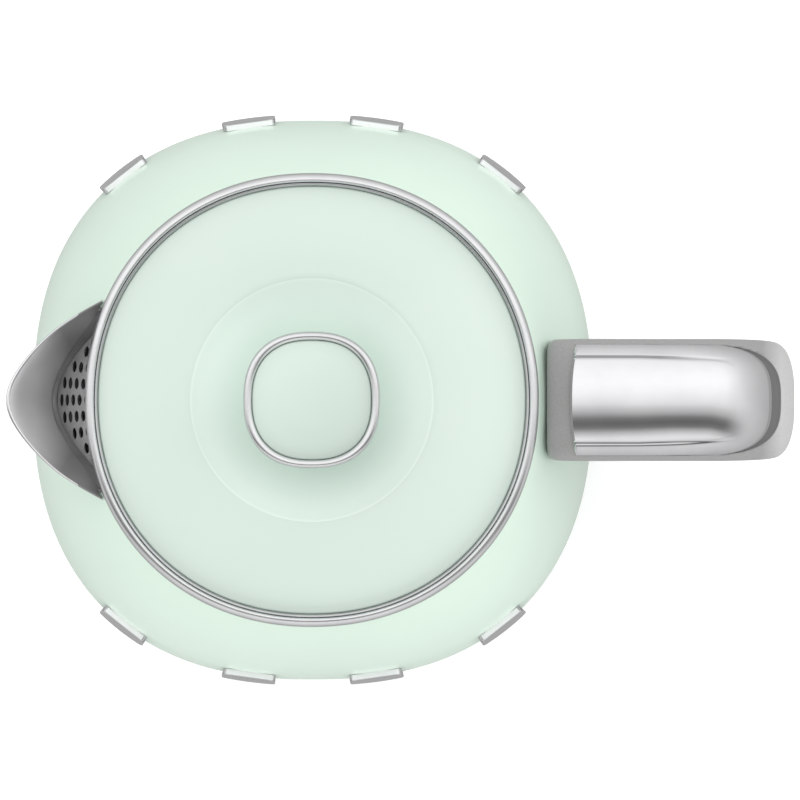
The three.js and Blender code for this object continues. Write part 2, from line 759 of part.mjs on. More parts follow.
function lidRing() {
  const { width, bottom, side, top } = LID_RING;
  return squareRing(
    [
      [LID.half - width, bottom],
      [LID.half, bottom],
      [LID.half, side],
      [LID.half - 0.5, top],
      [LID.half - width, side + 0.1],
    ].map(([half, z]) => [half, z, BODY.neckSquare]),
  );
}

function lidPlug() {
  const { radius, bottom, depth, wall, sheet, vent, ventCircle } = PLUG;
  const pan = turned(
    [
      [LID.bore, bottom],
      [radius, bottom],
      [radius, bottom + depth],
      [radius - wall, bottom + depth],
      [radius - wall, bottom + sheet],
      [LID.bore, bottom + sheet],
    ],
    TURN,
  );
  const vents = circlePlaces(ventCircle, [0, 60, 120, 180, 240, 300]);
  return cut(pan, ...vents.map(([x, y]) => post(vent, x, y, bottom - 2, bottom + 4, 10)));
}

function lidSeal() {
  const { inner, outer, lip, bottom, top } = SEAL;
  return squareRing([
    [inner, bottom, 2],
    [outer, bottom, BODY.neckSquare],
    [lip, (bottom + top) / 2, BODY.neckSquare],
    [outer, top, BODY.neckSquare],
    [inner, top, 2],
  ]);
}

function knobBase() {
  const flare = squareSolid(
    [
      [8, KNOB.bottom, 2],
      [7.2, KNOB.bottom + 1.4, 2],
      [6.8, 179, 2],
      [9.2, 183.4, 2.1],
      [14, 186, 2.3],
      [18.2, 187.4, KNOB.square],
      [18.2, KNOB.shoulder - GAP, KNOB.square],
    ],
    24,
  );
  return cut(flare, post(2.3, 0, 0, 168, 183, 12));
}

function knobRing() {
  return squareRing(
    [
      [KNOB.inner, KNOB.shoulder],
      [KNOB.half - 0.5, KNOB.shoulder],
      [KNOB.half, KNOB.shoulder + 1.2],
      [KNOB.half, KNOB.top - 2],
      [KNOB.half - 0.8, KNOB.top - 0.8],
      [KNOB.inner, KNOB.top - 0.9],
    ].map(([half, z]) => [half, z, KNOB.square]),
    32,
  );
}

function knobCap() {
  const half = KNOB.inner - GAP;
  return squareSolid(
    [
      [half, KNOB.shoulder, KNOB.square],
      [half, KNOB.top - 1.3, KNOB.square],
      [half - 4, KNOB.top - 0.5, 2.3],
      [half - 10, KNOB.top, 2.1],
    ],
    32,
  );
}

function knobScrew() {
  return join(post(1.9, 0, 0, 168, 181, 12), post(4, 0, 0, 167.6, 169.2, 12));
}

// ---------------------------------------------------------------- power base
const BASE_SCREWS = circlePlaces(BASE_SCREW_CIRCLE, [0, 120, 240]);

function baseHousing() {
  const { radius, deck, wall } = BASE;
  const hood = turned(
    [
      [radius - 0.8, 3.4],
      [radius, 4.6],
      [radius, 11],
      [radius - 2.2, deck - 2],
      [radius - 4.6, deck],
      [POST.radius + 0.6, deck],
      [POST.radius + 0.6, deck - wall],
      [radius - 6.4, deck - wall],
      [radius - 3, 11.5],
      [radius - 3, 3.4],
    ],
    TURN,
  );
  const bosses = BASE_SCREWS.map(([x, y]) => post(4.2, x, y, 5, deck - 1, 12));
  const bores = BASE_SCREWS.map(([x, y]) => post(1.9, x, y, 3, 13.5, 10));
  return cut(join(hood, ...bosses), ...bores, bush(GLAND.radius + GAP, 55, 75, 16));
}

function baseTrimRing() {
  const r = BASE.radius + GAP;
  const band = turned(
    [
      [r, 5.2],
      [r + 1, 5.2],
      [r + 1, 10.4],
      [r, 10.4],
    ],
    TURN,
  );
  return cut(band, box([55, 75], [-GLAND.radius - GAP, GLAND.radius + GAP], [4, 15]));
}

function baseCover() {
  const plate = turned(
    [
      [0, BASE.cover],
      [62.4, BASE.cover],
      [62.4, BASE.coverTop],
      [0, BASE.coverTop],
    ],
    TURN,
  );
  const wells = BASE_SCREWS.flatMap(([x, y]) => [
    post(1.9, x, y, 0, 6, 10),
    post(3.8, x, y, 0, BASE.cover + 1.8, 12),
  ]);
  return cut(plate, ...wells);
}

function baseScrew([x, y]) {
  return join(post(1.5, x, y, 1.7, 13, 8), post(3.3, x, y, 1.7, 3, 8));
}

// A cylinder along X at the height of the cord's way out of the base.
function bush(radius, from, to, segments) {
  return post(radius, 0, 0, from, to, segments)
    .rotateY(Math.PI / 2)
    .translate(0, 0, GLAND.z);
}

function cordGland() {
  return cut(bush(GLAND.radius, ...GLAND.x, 16), bush(GLAND.bore, 50, 80, 12));
}

function connectorPost() {
  const { radius, step, neck, top, pin } = POST;
  return turned([
    [0, 12.2],
    [16, 12.2],
    [16, 14.4],
    [radius, 14.4],
    [radius, step],
    [neck, step],
    [neck, top],
    [pin + 0.6, top],
    [pin + 0.6, 18],
    [0, 18],
  ]);
}

function contactRing() {
  const { step, neck } = POST;
  return turned(
    [
      [neck + 0.3, step + 0.3],
      [neck + 1.3, step + 0.3],
      [neck + 1.3, step + 2.6],
      [neck + 0.3, step + 2.6],
    ],
    24,
  );
}

// ---------------------------------------------------------------- assembly
const kettle = new THREE.Group();

function assembly(parent) {
  const group = new THREE.Group();
  parent.add(group);
  return (name, geometry, material) => {
    const mesh = new THREE.Mesh(geometry, material);
    mesh.name = name;
    group.add(mesh);
  };
}

const powerBase = assembly(kettle);
powerBase("base_housing", baseHousing(), greyPlastic);
powerBase("base_trim_ring", baseTrimRing(), steel);
powerBase("base_cover", baseCover(), darkPlastic);
powerBase("connector_post", connectorPost(), darkPlastic);
powerBase("post_pin", post(POST.pin, 0, 0, 18.3, 30.2, 12), brass);
powerBase("post_contact_ring", contactRing(), brass);
powerBase("cord_gland", cordGland(), darkPlastic);
powerBase("centre_foot", post(FEET.centre, 0, 0, 0, FEET.height, 20), rubber);
circlePlaces(FEET.circle, [45, 135, 225, 315]).forEach(([x, y], i) => {
  powerBase(`foot_${i + 1}`, post(FEET.radius, x, y, 0, FEET.height, 16), rubber);
});
BASE_SCREWS.forEach((at, i) => powerBase(`base_screw_${i + 1}`, baseScrew(at), steel));

const jug = assembly(kettle);
jug("connector_socket", connectorSocket(), darkPlastic);
jug("body_shell", bodyShell(), enamel);
jug("neck_ring", neckRing(), chrome);
jug("spout_beak", spoutBeak(), steel);
jug("strainer_plate", strainerPlate(), steel);
jug("strainer_frame", strainerFrame(), steel);
jug("strainer_clip_left", strainerClip(-1), steel);
jug("strainer_clip_right", strainerClip(1), steel);
jug("handle_core", handleCore(), greyPlastic);
jug("handle_cap", handleCap(), chrome);
BRACKETS.forEach((b) => jug(b.name, bracket(b), steel));
HANDLE_SCREWS.forEach((s) => jug(s.name, handleScrew(s), steel));
TILE.angles.forEach((degrees, i) => {
  jug(`trim_tile_left_${i + 1}`, trimTile(degrees), chrome);
  jug(`trim_tile_right_${i + 1}`, trimTile(-degrees), chrome);
});
jug("heated_floor", heatedFloor(), steel);
jug("floor_seal", floorSeal(), silicone);
jug("heat_spreader", post(SPREADER.radius, 0, 0, SPREADER.bottom, SPREADER.top, 32), aluminium);
jug("heating_element", heatingElement(), steel);
jug("control_housing", controlHousing(), darkPlastic);
jug("bimetal_disc", post(DISC.radius, 0, 0, DISC.bottom, DISC.top, 24), brass);
jug("skirt_ring", skirtRing(), steel);
jug("bottom_cover", bottomCover(), greyPlastic);
COVER_SCREWS.forEach((at, i) => jug(`cover_screw_${i + 1}`, coverScrew(at), steel));
jug("switch_pivot", crossPin(LEVER.pin, LEVER.pivotX, LEVER.pivotZ, -12.6, 12.6, 14), steel);
jug("switch_lever", switchLever(), chrome);

const lid = assembly(kettle);
lid("lid_cover", lidCover(), enamel);
lid("lid_ring", lidRing(), chrome);
lid("lid_plug", lidPlug(), steel);
lid("lid_seal", lidSeal(), silicone);
lid("knob_base", knobBase(), enamel);
lid("knob_ring", knobRing(), chrome);
lid("knob_cap", knobCap(), enamel);
lid("knob_screw", knobScrew(), steel);

export default kettle;
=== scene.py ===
"""The looks of a jug kettle on its round power base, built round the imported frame.

Every shape is written in millimetres and stored in metres. +Z is up, the spout points to -X and the
handle to +X. The sizes repeat those of the part.
"""

import math

import bmesh
import bpy
from mathutils import Matrix, Vector
from mathutils.geometry import delaunay_2d_cdt


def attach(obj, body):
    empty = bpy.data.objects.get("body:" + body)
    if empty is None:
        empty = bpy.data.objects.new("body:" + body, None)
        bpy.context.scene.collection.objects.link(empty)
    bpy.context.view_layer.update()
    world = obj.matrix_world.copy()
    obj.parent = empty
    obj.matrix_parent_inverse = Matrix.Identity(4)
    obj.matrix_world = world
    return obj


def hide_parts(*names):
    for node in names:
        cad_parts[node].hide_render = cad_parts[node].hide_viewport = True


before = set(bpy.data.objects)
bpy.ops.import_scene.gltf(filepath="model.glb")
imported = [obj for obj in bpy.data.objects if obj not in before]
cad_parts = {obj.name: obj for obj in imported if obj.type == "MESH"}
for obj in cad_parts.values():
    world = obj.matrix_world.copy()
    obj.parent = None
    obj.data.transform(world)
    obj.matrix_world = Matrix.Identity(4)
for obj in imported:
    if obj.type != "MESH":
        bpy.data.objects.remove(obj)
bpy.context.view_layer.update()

MM = 0.001

# ---------------------------------------------------------------- sizes, in millimetres
FOOT_Z, BELLY_Z, NECK_Z = 30.0, 90.0, 174.0
FOOT, BELLY, NECK = 67.5, 79.5, 63.5
FOOT_SQ, BELLY_SQ, NECK_SQ = 2.0, 2.38, 2.1
WALL = 1.1
THROAT_Z, THROAT_TOP, THROAT_HALF = 142.0, 170.5, 26.0
TIP_X, RIM_ROOT_Z, RIM_TIP_Z, RIM_HALF = -86.1, 173.9, 176.2, 28.3
GAP = 0.35
SHEET_LOW, SHEET_TOP = 141.0, 168.6  # heights of the strainer's sheet
SHEET_RADIUS, SHEET_ANGLE = 66.0, math.radians(20.5)  # the arc that the sheet is laid out on, and its half
HOLE, HOLE_PITCH, HOLE_RISE, HOLE_FIRST = 1.65, 4.6, 4.8, 146.0  # radius, column and row steps, first row
CAP_HALF, CAP_START, CAP_ROUND, CAP_END, CAP_SQUARE = 15.6, 72.5, 107.0, 129.7, 3.0
CREASE = 12.1  # distance of the cap's creases from its middle
CREASE_LEAN, CREASE_BEND = 0.9, (92.0, 122.0)  # they lean inwards by this much over this stretch of X
CHANNEL = 2.7  # width of the sunk channel past the cap's far end
HANDLE_FAR = 136.4  # the handle's farthest reach
ENAMEL = {"Coat_Weight": 0.3, "Coat_Roughness": 0.12, "Specular_IOR_Level": 0.42}


def blend_step(t):
    t = min(1.0, max(0.0, t))
    return t * t * (3 - 2 * t)


def body_half(z):
    """Half-width of the body at height z."""
    if z > BELLY_Z:
        return BELLY - (BELLY - NECK) * ((z - BELLY_Z) / (NECK_Z - BELLY_Z)) ** 2.2
    return BELLY - (BELLY - FOOT) * ((BELLY_Z - z) / (BELLY_Z - FOOT_Z)) ** 2.6


def body_square(z):
    """Power of the superellipse that the body follows at height z: 2 is round."""
    if z > BELLY_Z:
        return BELLY_SQ - (BELLY_SQ - NECK_SQ) * ((z - BELLY_Z) / (NECK_Z - BELLY_Z)) ** 2
    return BELLY_SQ - (BELLY_SQ - FOOT_SQ) * ((BELLY_Z - z) / (BELLY_Z - FOOT_Z)) ** 2


def polar(half, square, angle):
    """Radius of a superellipse at an angle."""
    c, s = abs(math.cos(angle)), abs(math.sin(angle))
    return half / (c**square + s**square) ** (1 / square)


def throat_edge(y):
    """Height of the wall's cut edge behind the beak."""
    return THROAT_Z + (THROAT_TOP - THROAT_Z) * blend_step(abs(y) / THROAT_HALF)


# ---------------------------------------------------------------- mesh helpers
def soften(points, cut, closed=False, steps=4):
    """A profile with each corner rounded off over the length cut."""
    out = []
    n = len(points)
    for i, p in enumerate(points):
        if not closed and i in (0, n - 1):
            out.append(tuple(p))
            continue
        a, b = points[i - 1], points[(i + 1) % n]
        la, lb = math.dist(a[:2], p[:2]), math.dist(b[:2], p[:2])
        c = min(cut, 0.45 * la, 0.45 * lb)
        start = [p[k] + (a[k] - p[k]) * c / la for k in range(len(p))]
        end = [p[k] + (b[k] - p[k]) * c / lb for k in range(len(p))]
        for s in range(steps + 1):
            t = s / steps
            weights = ((1 - t) ** 2, 2 * t * (1 - t), t * t)
            out.append(
                tuple(weights[0] * u + weights[1] * v + weights[2] * w for u, v, w in zip(start, p, end))
            )
    return out


def ring(profile, n, closed=True, arc=None):
    """Turns a profile of (half-width, height, squareness) round Z in n steps. An open ring runs between
    the two angles of arc."""
    first, last = arc or (0.0, 2 * math.pi)
    count = n + 1 if arc else n
    angles = [first + (last - first) * i / n for i in range(count)]
    verts = [
        (polar(h, q, a) * math.cos(a), polar(h, q, a) * math.sin(a), z)
        for a in angles
        for h, z, q in profile
    ]
    m = len(profile)
    faces = []
    for i in range(n):
        j = (i + 1) % count
        for k in range(m if closed else m - 1):
            l = (k + 1) % m
            faces.append((i * m + k, j * m + k, j * m + l, i * m + l))
    if arc:
        faces.append(tuple(range(m)))
        faces.append(tuple(range(n * m, n * m + m)))
    return verts, faces


def round_profile(points, cut, closed=True):
    """A round piece's profile of (radius, height) with softened corners."""
    return soften([(r, z, 2.0) for r, z in points], cut, closed)


def grid(rows, columns, at, closed_columns=False):
    """A sheet of quads: at(t, s) gives the point of row t and column s, both from 0 to 1."""
    span = columns if closed_columns else columns - 1
    verts = [at(i / (rows - 1), j / span) for i in range(rows) for j in range(columns)]
    faces = []
    for i in range(rows - 1):
        for j in range(span):
            k = (j + 1) % columns
            a, b = i * columns, (i + 1) * columns
            faces.append((a + j, a + k, b + k, b + j))
    return verts, faces


def merge(*parts):
    verts, faces = [], []
    for v, f in parts:
        base = len(verts)
        verts += list(v)
        faces += [tuple(base + i for i in face) for face in f]
    return verts, faces


def moved(part, place):
    return [tuple(place @ Vector(v)) for v in part[0]], part[1]


def between(rows, columns, front, back):
    """A closed sheet between two grids of the same rows and columns."""
    verts, faces = merge(grid(rows, columns, front), grid(rows, columns, back))
    base = rows * columns
    rim = list(range(columns))
    rim += [i * columns + columns - 1 for i in range(1, rows)]
    rim += [(rows - 1) * columns + j for j in range(columns - 2, -1, -1)]
    rim += [i * columns for i in range(rows - 2, 0, -1)]
    for a, b in zip(rim, rim[1:] + rim[:1]):
        faces.append((a, b, base + b, base + a))
    return verts, faces


def inside(point, loop):
    x, y = point
    hit = False
    for (x0, y0), (x1, y1) in zip(loop, loop[1:] + loop[:1]):
        if (y0 > y) != (y1 > y) and x < (x1 - x0) * (y - y0) / (y1 - y0) + x0:
            hit = not hit
    return hit


def shrink(loop, by, sign):
    """The loop moved inwards along its own normals, or outwards for a hole."""
    out = []
    n = len(loop)
    for i, (x, y) in enumerate(loop):
        before, after = loop[i - 1], loop[(i + 1) % n]
        dx, dy = after[0] - before[0], after[1] - before[1]
        length = math.hypot(dx, dy) or 1.0
        out.append((x - sign * by * dy / length, y + sign * by * dx / length))
    return out


def plate(outline, holes, spacing, place, back, front, bevel=0.3):
    """A sheet with holes. Loops run anticlockwise in (u, v), and place(u, v, depth) puts a point in space."""
    loops = [outline] + holes
    verts, faces, firsts, rims = [], [], [], []

    def add_loop(loop, depth):
        start = len(verts)
        verts.extend(place(u, v, depth) for u, v in loop)
        return start

    def strip(a, b, n):
        for i in range(n):
            j = (i + 1) % n
            faces.append((a + i, a + j, b + j, b + i))

    def in_sheet(point, flat):
        return inside(point, flat[0]) and not any(inside(point, hole) for hole in flat[1:])

    us, vs = [p[0] for p in outline], [p[1] for p in outline]
    for depth, edge in ((back, 0.0), (front, bevel)):
        flat = [shrink(loop, edge, 1 if i == 0 else -1) if edge else loop for i, loop in enumerate(loops)]
        starts = [add_loop(loop, depth) for loop in flat]
        if edge:
            for loop, start in zip(loops, starts):
                shoulder = add_loop(loop, depth - edge)
                strip(shoulder, start, len(loop))
                rims.append(shoulder)
        else:
            firsts = starts
        points = [Vector(p) for loop in flat for p in loop]
        owner = [start + i for loop, start in zip(flat, starts) for i in range(len(loop))]
        edges, base = [], 0
        for loop in flat:
            edges += [(base + i, base + (i + 1) % len(loop)) for i in range(len(loop))]
            base += len(loop)
        v = min(vs) + spacing / 2
        while v < max(vs):
            u = min(us) + spacing / 2
            while u < max(us):
                clear = all(math.hypot(u - p[0], v - p[1]) > 0.45 * spacing for loop in flat for p in loop)
                if clear and in_sheet((u, v), flat):
                    owner.append(len(verts))
                    verts.append(place(u, v, depth))
                    points.append(Vector((u, v)))
                u += spacing
            v += spacing
        tri_points, _, triangles, origin, _, _ = delaunay_2d_cdt(points, edges, [], 0, 1e-6, True)
        for tri in triangles:
            middle = [sum(tri_points[i][k] for i in tri) / 3 for k in (0, 1)]
            if in_sheet(middle, flat):
                faces.append(tuple(owner[origin[i][0]] for i in tri))
    for loop, first, rim in zip(loops, firsts, rims):
        strip(first, rim, len(loop))
    return verts, faces


def circle(radius, n, at=(0.0, 0.0)):
    angles = [2 * math.pi * i / n for i in range(n)]
    return [(at[0] + radius * math.cos(a), at[1] + radius * math.sin(a)) for a in angles]


def rounded_rect(w, h, r, n):
    """A rectangle of half-sizes w and h with corners of radius r, each in n steps."""
    out = []
    for cx, cy, a in ((w - r, h - r, 0), (r - w, h - r, 1), (r - w, r - h, 2), (w - r, r - h, 3)):
        for i in range(n + 1):
            t = (a + i / n) * math.pi / 2
            out.append((cx + r * math.cos(t), cy + r * math.sin(t)))
    return out


def flat_place(u, v, depth):
    return (u, v, depth)


def round_place(radius, degrees, z=0.0):
    """The place at a radius and an angle round Z."""
    angle = math.radians(degrees)
    return Matrix.Translation((radius * math.cos(angle), radius * math.sin(angle), z))


def piece(name, part, body, materials, node, sharp=40, pick=None):
    """Makes the object, rides it on its body, and lets it stand for its CAD node, if it has one.
    pick(centre, normal), with the centre in millimetres, gives a face's material index."""
    verts, faces = part
    mesh = bpy.data.meshes.new(name)
    mesh.from_pydata([Vector(v) * MM for v in verts], [], faces)
    made = bmesh.new()
    made.from_mesh(mesh)
    bmesh.ops.remove_doubles(made, verts=made.verts, dist=0.002 * MM)
    bmesh.ops.dissolve_degenerate(made, edges=made.edges, dist=0.001 * MM)
    bmesh.ops.recalc_face_normals(made, faces=made.faces)
    made.to_mesh(mesh)
    made.free()
    for material in materials if isinstance(materials, list) else [materials]:
        mesh.materials.append(material)
    if pick:
        for face in mesh.polygons:
            face.material_index = pick(face.center / MM, face.normal)
    mesh.shade_smooth()
    mesh.set_sharp_from_angle(angle=math.radians(sharp))
    made_object = bpy.data.objects.new(name, mesh)
    bpy.context.scene.collection.objects.link(made_object)
    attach(made_object, body)
    if node:
        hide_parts(node)


# ---------------------------------------------------------------- material helpers
def put(tree, socket, value):
    """Links a value that is a socket, and sets any other."""
    if isinstance(value, bpy.types.NodeSocket):
        tree.links.new(value, socket)
    else:
        socket.default_value = value


def add_node(tree, kind, **inputs):
    made = tree.nodes.new(kind)
    for key, value in inputs.items():
        put(tree, made.inputs[key.replace("_", " ")], value)
    return made


class Finish:
    """A node material with its own colour drift, roughness drift and fine relief."""

    def __init__(self, name, roughness, metallic=0.0, **sockets):
        self.material = bpy.data.materials.new(name)
        self.material.use_nodes = True
        self.tree = self.material.node_tree
        self.shader = self.tree.nodes["Principled BSDF"]
        self.shader.inputs["Roughness"].default_value = roughness
        self.shader.inputs["Metallic"].default_value = metallic
        for key, value in sockets.items():
            self.shader.inputs[key.replace("_", " ")].default_value = value
        self.coords = self.tree.nodes.new("ShaderNodeTexCoord").outputs["Object"]
        self.height = None

    def node(self, kind, **inputs):
        return add_node(self.tree, kind, **inputs)

    def put(self, socket, value):
        put(self.tree, socket, value)

    def xyz(self):
        return self.node("ShaderNodeSeparateXYZ", Vector=self.coords).outputs

    def maths(self, operation, a, b=0.0):
        made = self.node("ShaderNodeMath")
        made.operation = operation
        self.put(made.inputs[0], a)
        self.put(made.inputs[1], b)
        return made.outputs[0]

    def stretched(self, x, y, z):
        return self.node("ShaderNodeMapping", Vector=self.coords, Scale=(x, y, z)).outputs[0]

    def turned(self, radial, around, axial):
        """Coordinates that run round Z, for marks left by turning or circular brushing."""
        x, y, z = self.xyz()
        squares = [self.maths("MULTIPLY", value, value) for value in (x, y)]
        radius = self.maths("SQRT", self.maths("ADD", *squares))
        angle = self.maths("ARCTAN2", y, x)
        made = self.node("ShaderNodeCombineXYZ")
        for socket, value, scale in zip(made.inputs, (radius, angle, z), (radial, around, axial)):
            self.put(socket, self.maths("MULTIPLY", value, scale))
        return made.outputs[0]

    def noise(self, scale, detail=3.0, vector=None, rough=0.5):
        made = self.node(
            "ShaderNodeTexNoise", Vector=vector or self.coords, Scale=scale, Detail=detail, Roughness=rough
        )
        return made.outputs["Fac"]

    def span(self, factor, low, high, start=0.3, end=0.7):
        """Carries the factor's stretch from start to end over to the stretch from low to high."""
        limits = {"From_Min": start, "From_Max": end, "To_Min": low, "To_Max": high}
        return self.node("ShaderNodeMapRange", Value=factor, **limits).outputs[0]

    def mix(self, factor, a, b):
        """Mixes two colours. A single number is a grey."""
        made = self.node("ShaderNodeMix")
        made.data_type = "RGBA"
        self.put(made.inputs["Factor"], factor)
        for socket, value in zip([s for s in made.inputs if s.type == "RGBA"], (a, b)):
            if isinstance(value, float):
                value = (value, value, value)
            self.put(socket, (*value, 1.0) if isinstance(value, tuple) else value)
        return [s for s in made.outputs if s.type == "RGBA"][0]

    def colour(self, factor, a, b, start=0.3, end=0.7):
        self.put(self.shader.inputs["Base Color"], self.mix(self.span(factor, 0.0, 1.0, start, end), a, b))
        return self

    def roughness(self, factor, low, high):
        self.put(self.shader.inputs["Roughness"], self.span(factor, low, high))
        return self

    def relief(self, factor, strength, distance):
        """Adds fine relief. Each call lies on the one before."""
        made = self.node("ShaderNodeBump", Height=factor, Strength=strength, Distance=distance * MM)
        if self.height:
            self.put(made.inputs["Normal"], self.height)
        self.height = made.outputs[0]
        self.put(self.shader.inputs["Normal"], self.height)
        return self

    def edges(self):
        """Strong on convex edges, where a surface wears."""
        geometry = self.node("ShaderNodeNewGeometry")
        return self.span(geometry.outputs["Pointiness"], 0.0, 1.0, 0.53, 0.6)


def worn_metal(name, dark, light, roughness, drift, scale):
    made = Finish(name, roughness, 1.0)
    made.colour(made.noise(scale), dark, light)
    worn = made.maths("MULTIPLY", made.edges(), 0.12)
    smudge = made.maths("SUBTRACT", made.noise(35, 4), worn)
    made.roughness(smudge, roughness - drift, roughness + drift)
    return made


def cap_reach(finish, x, y, end):
    """Shader value that is 0 on the cap's middle line and 1 on the outline of a cap that ends at x = end."""
    across = finish.maths("DIVIDE", finish.maths("ABSOLUTE", y), CAP_HALF * MM)
    beyond = finish.node("ShaderNodeMapRange", Value=x, From_Min=CAP_ROUND * MM, From_Max=end * MM)
    beyond.clamp = False
    beyond = finish.maths("MAXIMUM", beyond.outputs[0], 0.0)
    powers = [finish.maths("POWER", value, CAP_SQUARE) for value in (across, beyond)]
    return finish.maths("POWER", finish.maths("ADD", *powers), 1 / CAP_SQUARE)


def handle_plastic():
    """Silver-grey moulding, with painted light making its far side lighter and painted shadow darkening the
    channel round the cap's end.
    """
    grip = Finish("silver_grey_moulding", 0.42, 0.0, Coat_Weight=0.3, Coat_Roughness=0.25)
    grain = grip.span(grip.noise(1600, 2), 0.0, 1.0, 0.35, 0.65)
    x, y, z = grip.xyz()
    upper = grip.mix(grain, (0.268, 0.266, 0.264), (0.29, 0.288, 0.286))
    # painted light: a lighter grey for the handle's far side, mixed in past x = 127 mm
    outer = grip.mix(grain, (0.45, 0.448, 0.445), (0.49, 0.488, 0.485))
    plain = grip.mix(grip.span(x, 0.0, 1.0, 0.127, 0.1325), upper, outer)
    # painted shadow: the channel round the cap's far end, clear of the root and on the top, is made dark grey
    past_cap = grip.span(cap_reach(grip, x, y, CAP_END), 0.0, 1.0, 0.985, 0.995)
    within = grip.span(cap_reach(grip, x, y, CAP_END + CHANNEL), 1.0, 0.0, 0.996, 1.004)
    clear_of_root = grip.span(x, 0.0, 1.0, 0.0735, 0.0745)
    on_top = grip.span(z, 0.0, 1.0, 0.140, 0.142)
    beside = grip.maths("MULTIPLY", clear_of_root, on_top)
    sunk = grip.maths("MULTIPLY", grip.maths("MULTIPLY", past_cap, within), beside)
    grip.put(grip.shader.inputs["Base Color"], grip.mix(sunk, plain, 0.11))
    grip.roughness(grip.noise(50, 4), 0.36, 0.48).relief(grip.noise(900, 2), 0.03, 0.02)
    return grip.material


def cap_plating():
    """The handle cap's plating: bright on the crown, with painted shade greying the shelves beyond the
    creases and the band round its far end, and a darker painted shade along the creases.
    """
    cap = Finish("cap_plating", 0.12, 1.0)
    x, y, _ = cap.xyz()
    reach = cap_reach(cap, x, y, CAP_END)
    dome = cap.span(x, 0.0, 1.0, 0.098, 0.120)
    creased = cap.maths("SUBTRACT", 1.0, dome)
    bend = [end * MM for end in CREASE_BEND]
    line = cap.span(x, CREASE / CAP_HALF, (CREASE - CREASE_LEAN) / CAP_HALF, *bend)
    past_line = cap.maths("SUBTRACT", reach, line)
    # painted shade: the shelves beyond the creases and the band round the far end take the greyer plating
    shelf = cap.maths("MULTIPLY", cap.span(past_line, 0.0, 1.0, 0.0, 0.02), creased)
    end_band_shade = cap.maths("MULTIPLY", cap.span(reach, 0.0, 1.0, 0.6, 1.0), dome)
    grain = cap.span(cap.noise(90), 0.0, 1.0)
    crown = cap.mix(grain, (0.80, 0.80, 0.815), (0.86, 0.86, 0.87))
    edge = cap.mix(grain, (0.62, 0.62, 0.63), (0.67, 0.67, 0.68))
    plain = cap.mix(cap.maths("ADD", shelf, end_band_shade), crown, edge)
    # painted shade: a dark line along each crease
    off_line = cap.maths("ABSOLUTE", past_line)
    crease = cap.maths("MULTIPLY", cap.span(off_line, 1.0, 0.0, 0.006, 0.028), creased)
    cap.put(cap.shader.inputs["Base Color"], cap.mix(crease, plain, (0.30, 0.30, 0.305)))
    cap.roughness(cap.noise(35, 4), 0.08, 0.15)
    cap.relief(cap.noise(700, 2, cap.stretched(1, 0.2, 1)), 0.03, 0.02)
    return cap.material


def knob_enamel():
    """Mint enamel with painted shade that darkens it towards +X and -Y."""
    knob = Finish("knob_enamel", 0.34, 0.0, **ENAMEL)
    x, y, _ = knob.xyz()
    # painted shade: the colour darkens towards +X and -Y
    knob.colour(knob.maths("SUBTRACT", x, y), (0.61, 0.716, 0.648), (0.51, 0.60, 0.545), -0.018, 0.024)
    knob.roughness(knob.noise(60, 3), 0.3, 0.38).relief(knob.noise(420, 2), 0.04, 0.03)
    return knob.material


def beak_steel():
    """Steel that is bright at the beak's tip, with painted shade darkening it towards its root and its sides.
    """
    beak = Finish("brushed_spout_steel", 0.45, 0.15)
    along, across, _ = beak.xyz()
    # painted shade: darker towards the beak's sides and its root
    side_shade = beak.span(beak.maths("ABSOLUTE", across), 0.0, 0.55, 0.006, 0.020)
    root_and_side_shade = beak.maths("ADD", beak.span(along, 0.0, 1.0, -0.078, -0.062), side_shade)
    grain = beak.span(beak.noise(60), 0.0, 1.0)
    colours = beak.mix(grain, 0.92, 0.97), beak.mix(grain, 0.22, 0.28)
    beak.put(beak.shader.inputs["Base Color"], beak.mix(root_and_side_shade, *colours))
    beak.roughness(beak.noise(35, 4), 0.4, 0.52)
    beak.relief(beak.noise(1500, 3, beak.stretched(0.05, 1, 0.35)), 0.12, 0.03)
    return beak.material


def throat_steel():
    """Steel with painted shade that darkens it away from the beak's middle line."""
    throat = Finish("throat_steel", 0.5, 0.4)
    across = throat.xyz()[1]
    # painted shade: darker away from the middle line
    throat.colour(throat.maths("ABSOLUTE", across), 0.48, 0.2, 0.004, 0.016)
    throat.roughness(throat.noise(35, 4), 0.42, 0.56).relief(throat.noise(1500, 3), 0.1, 0.03)
    return throat.material


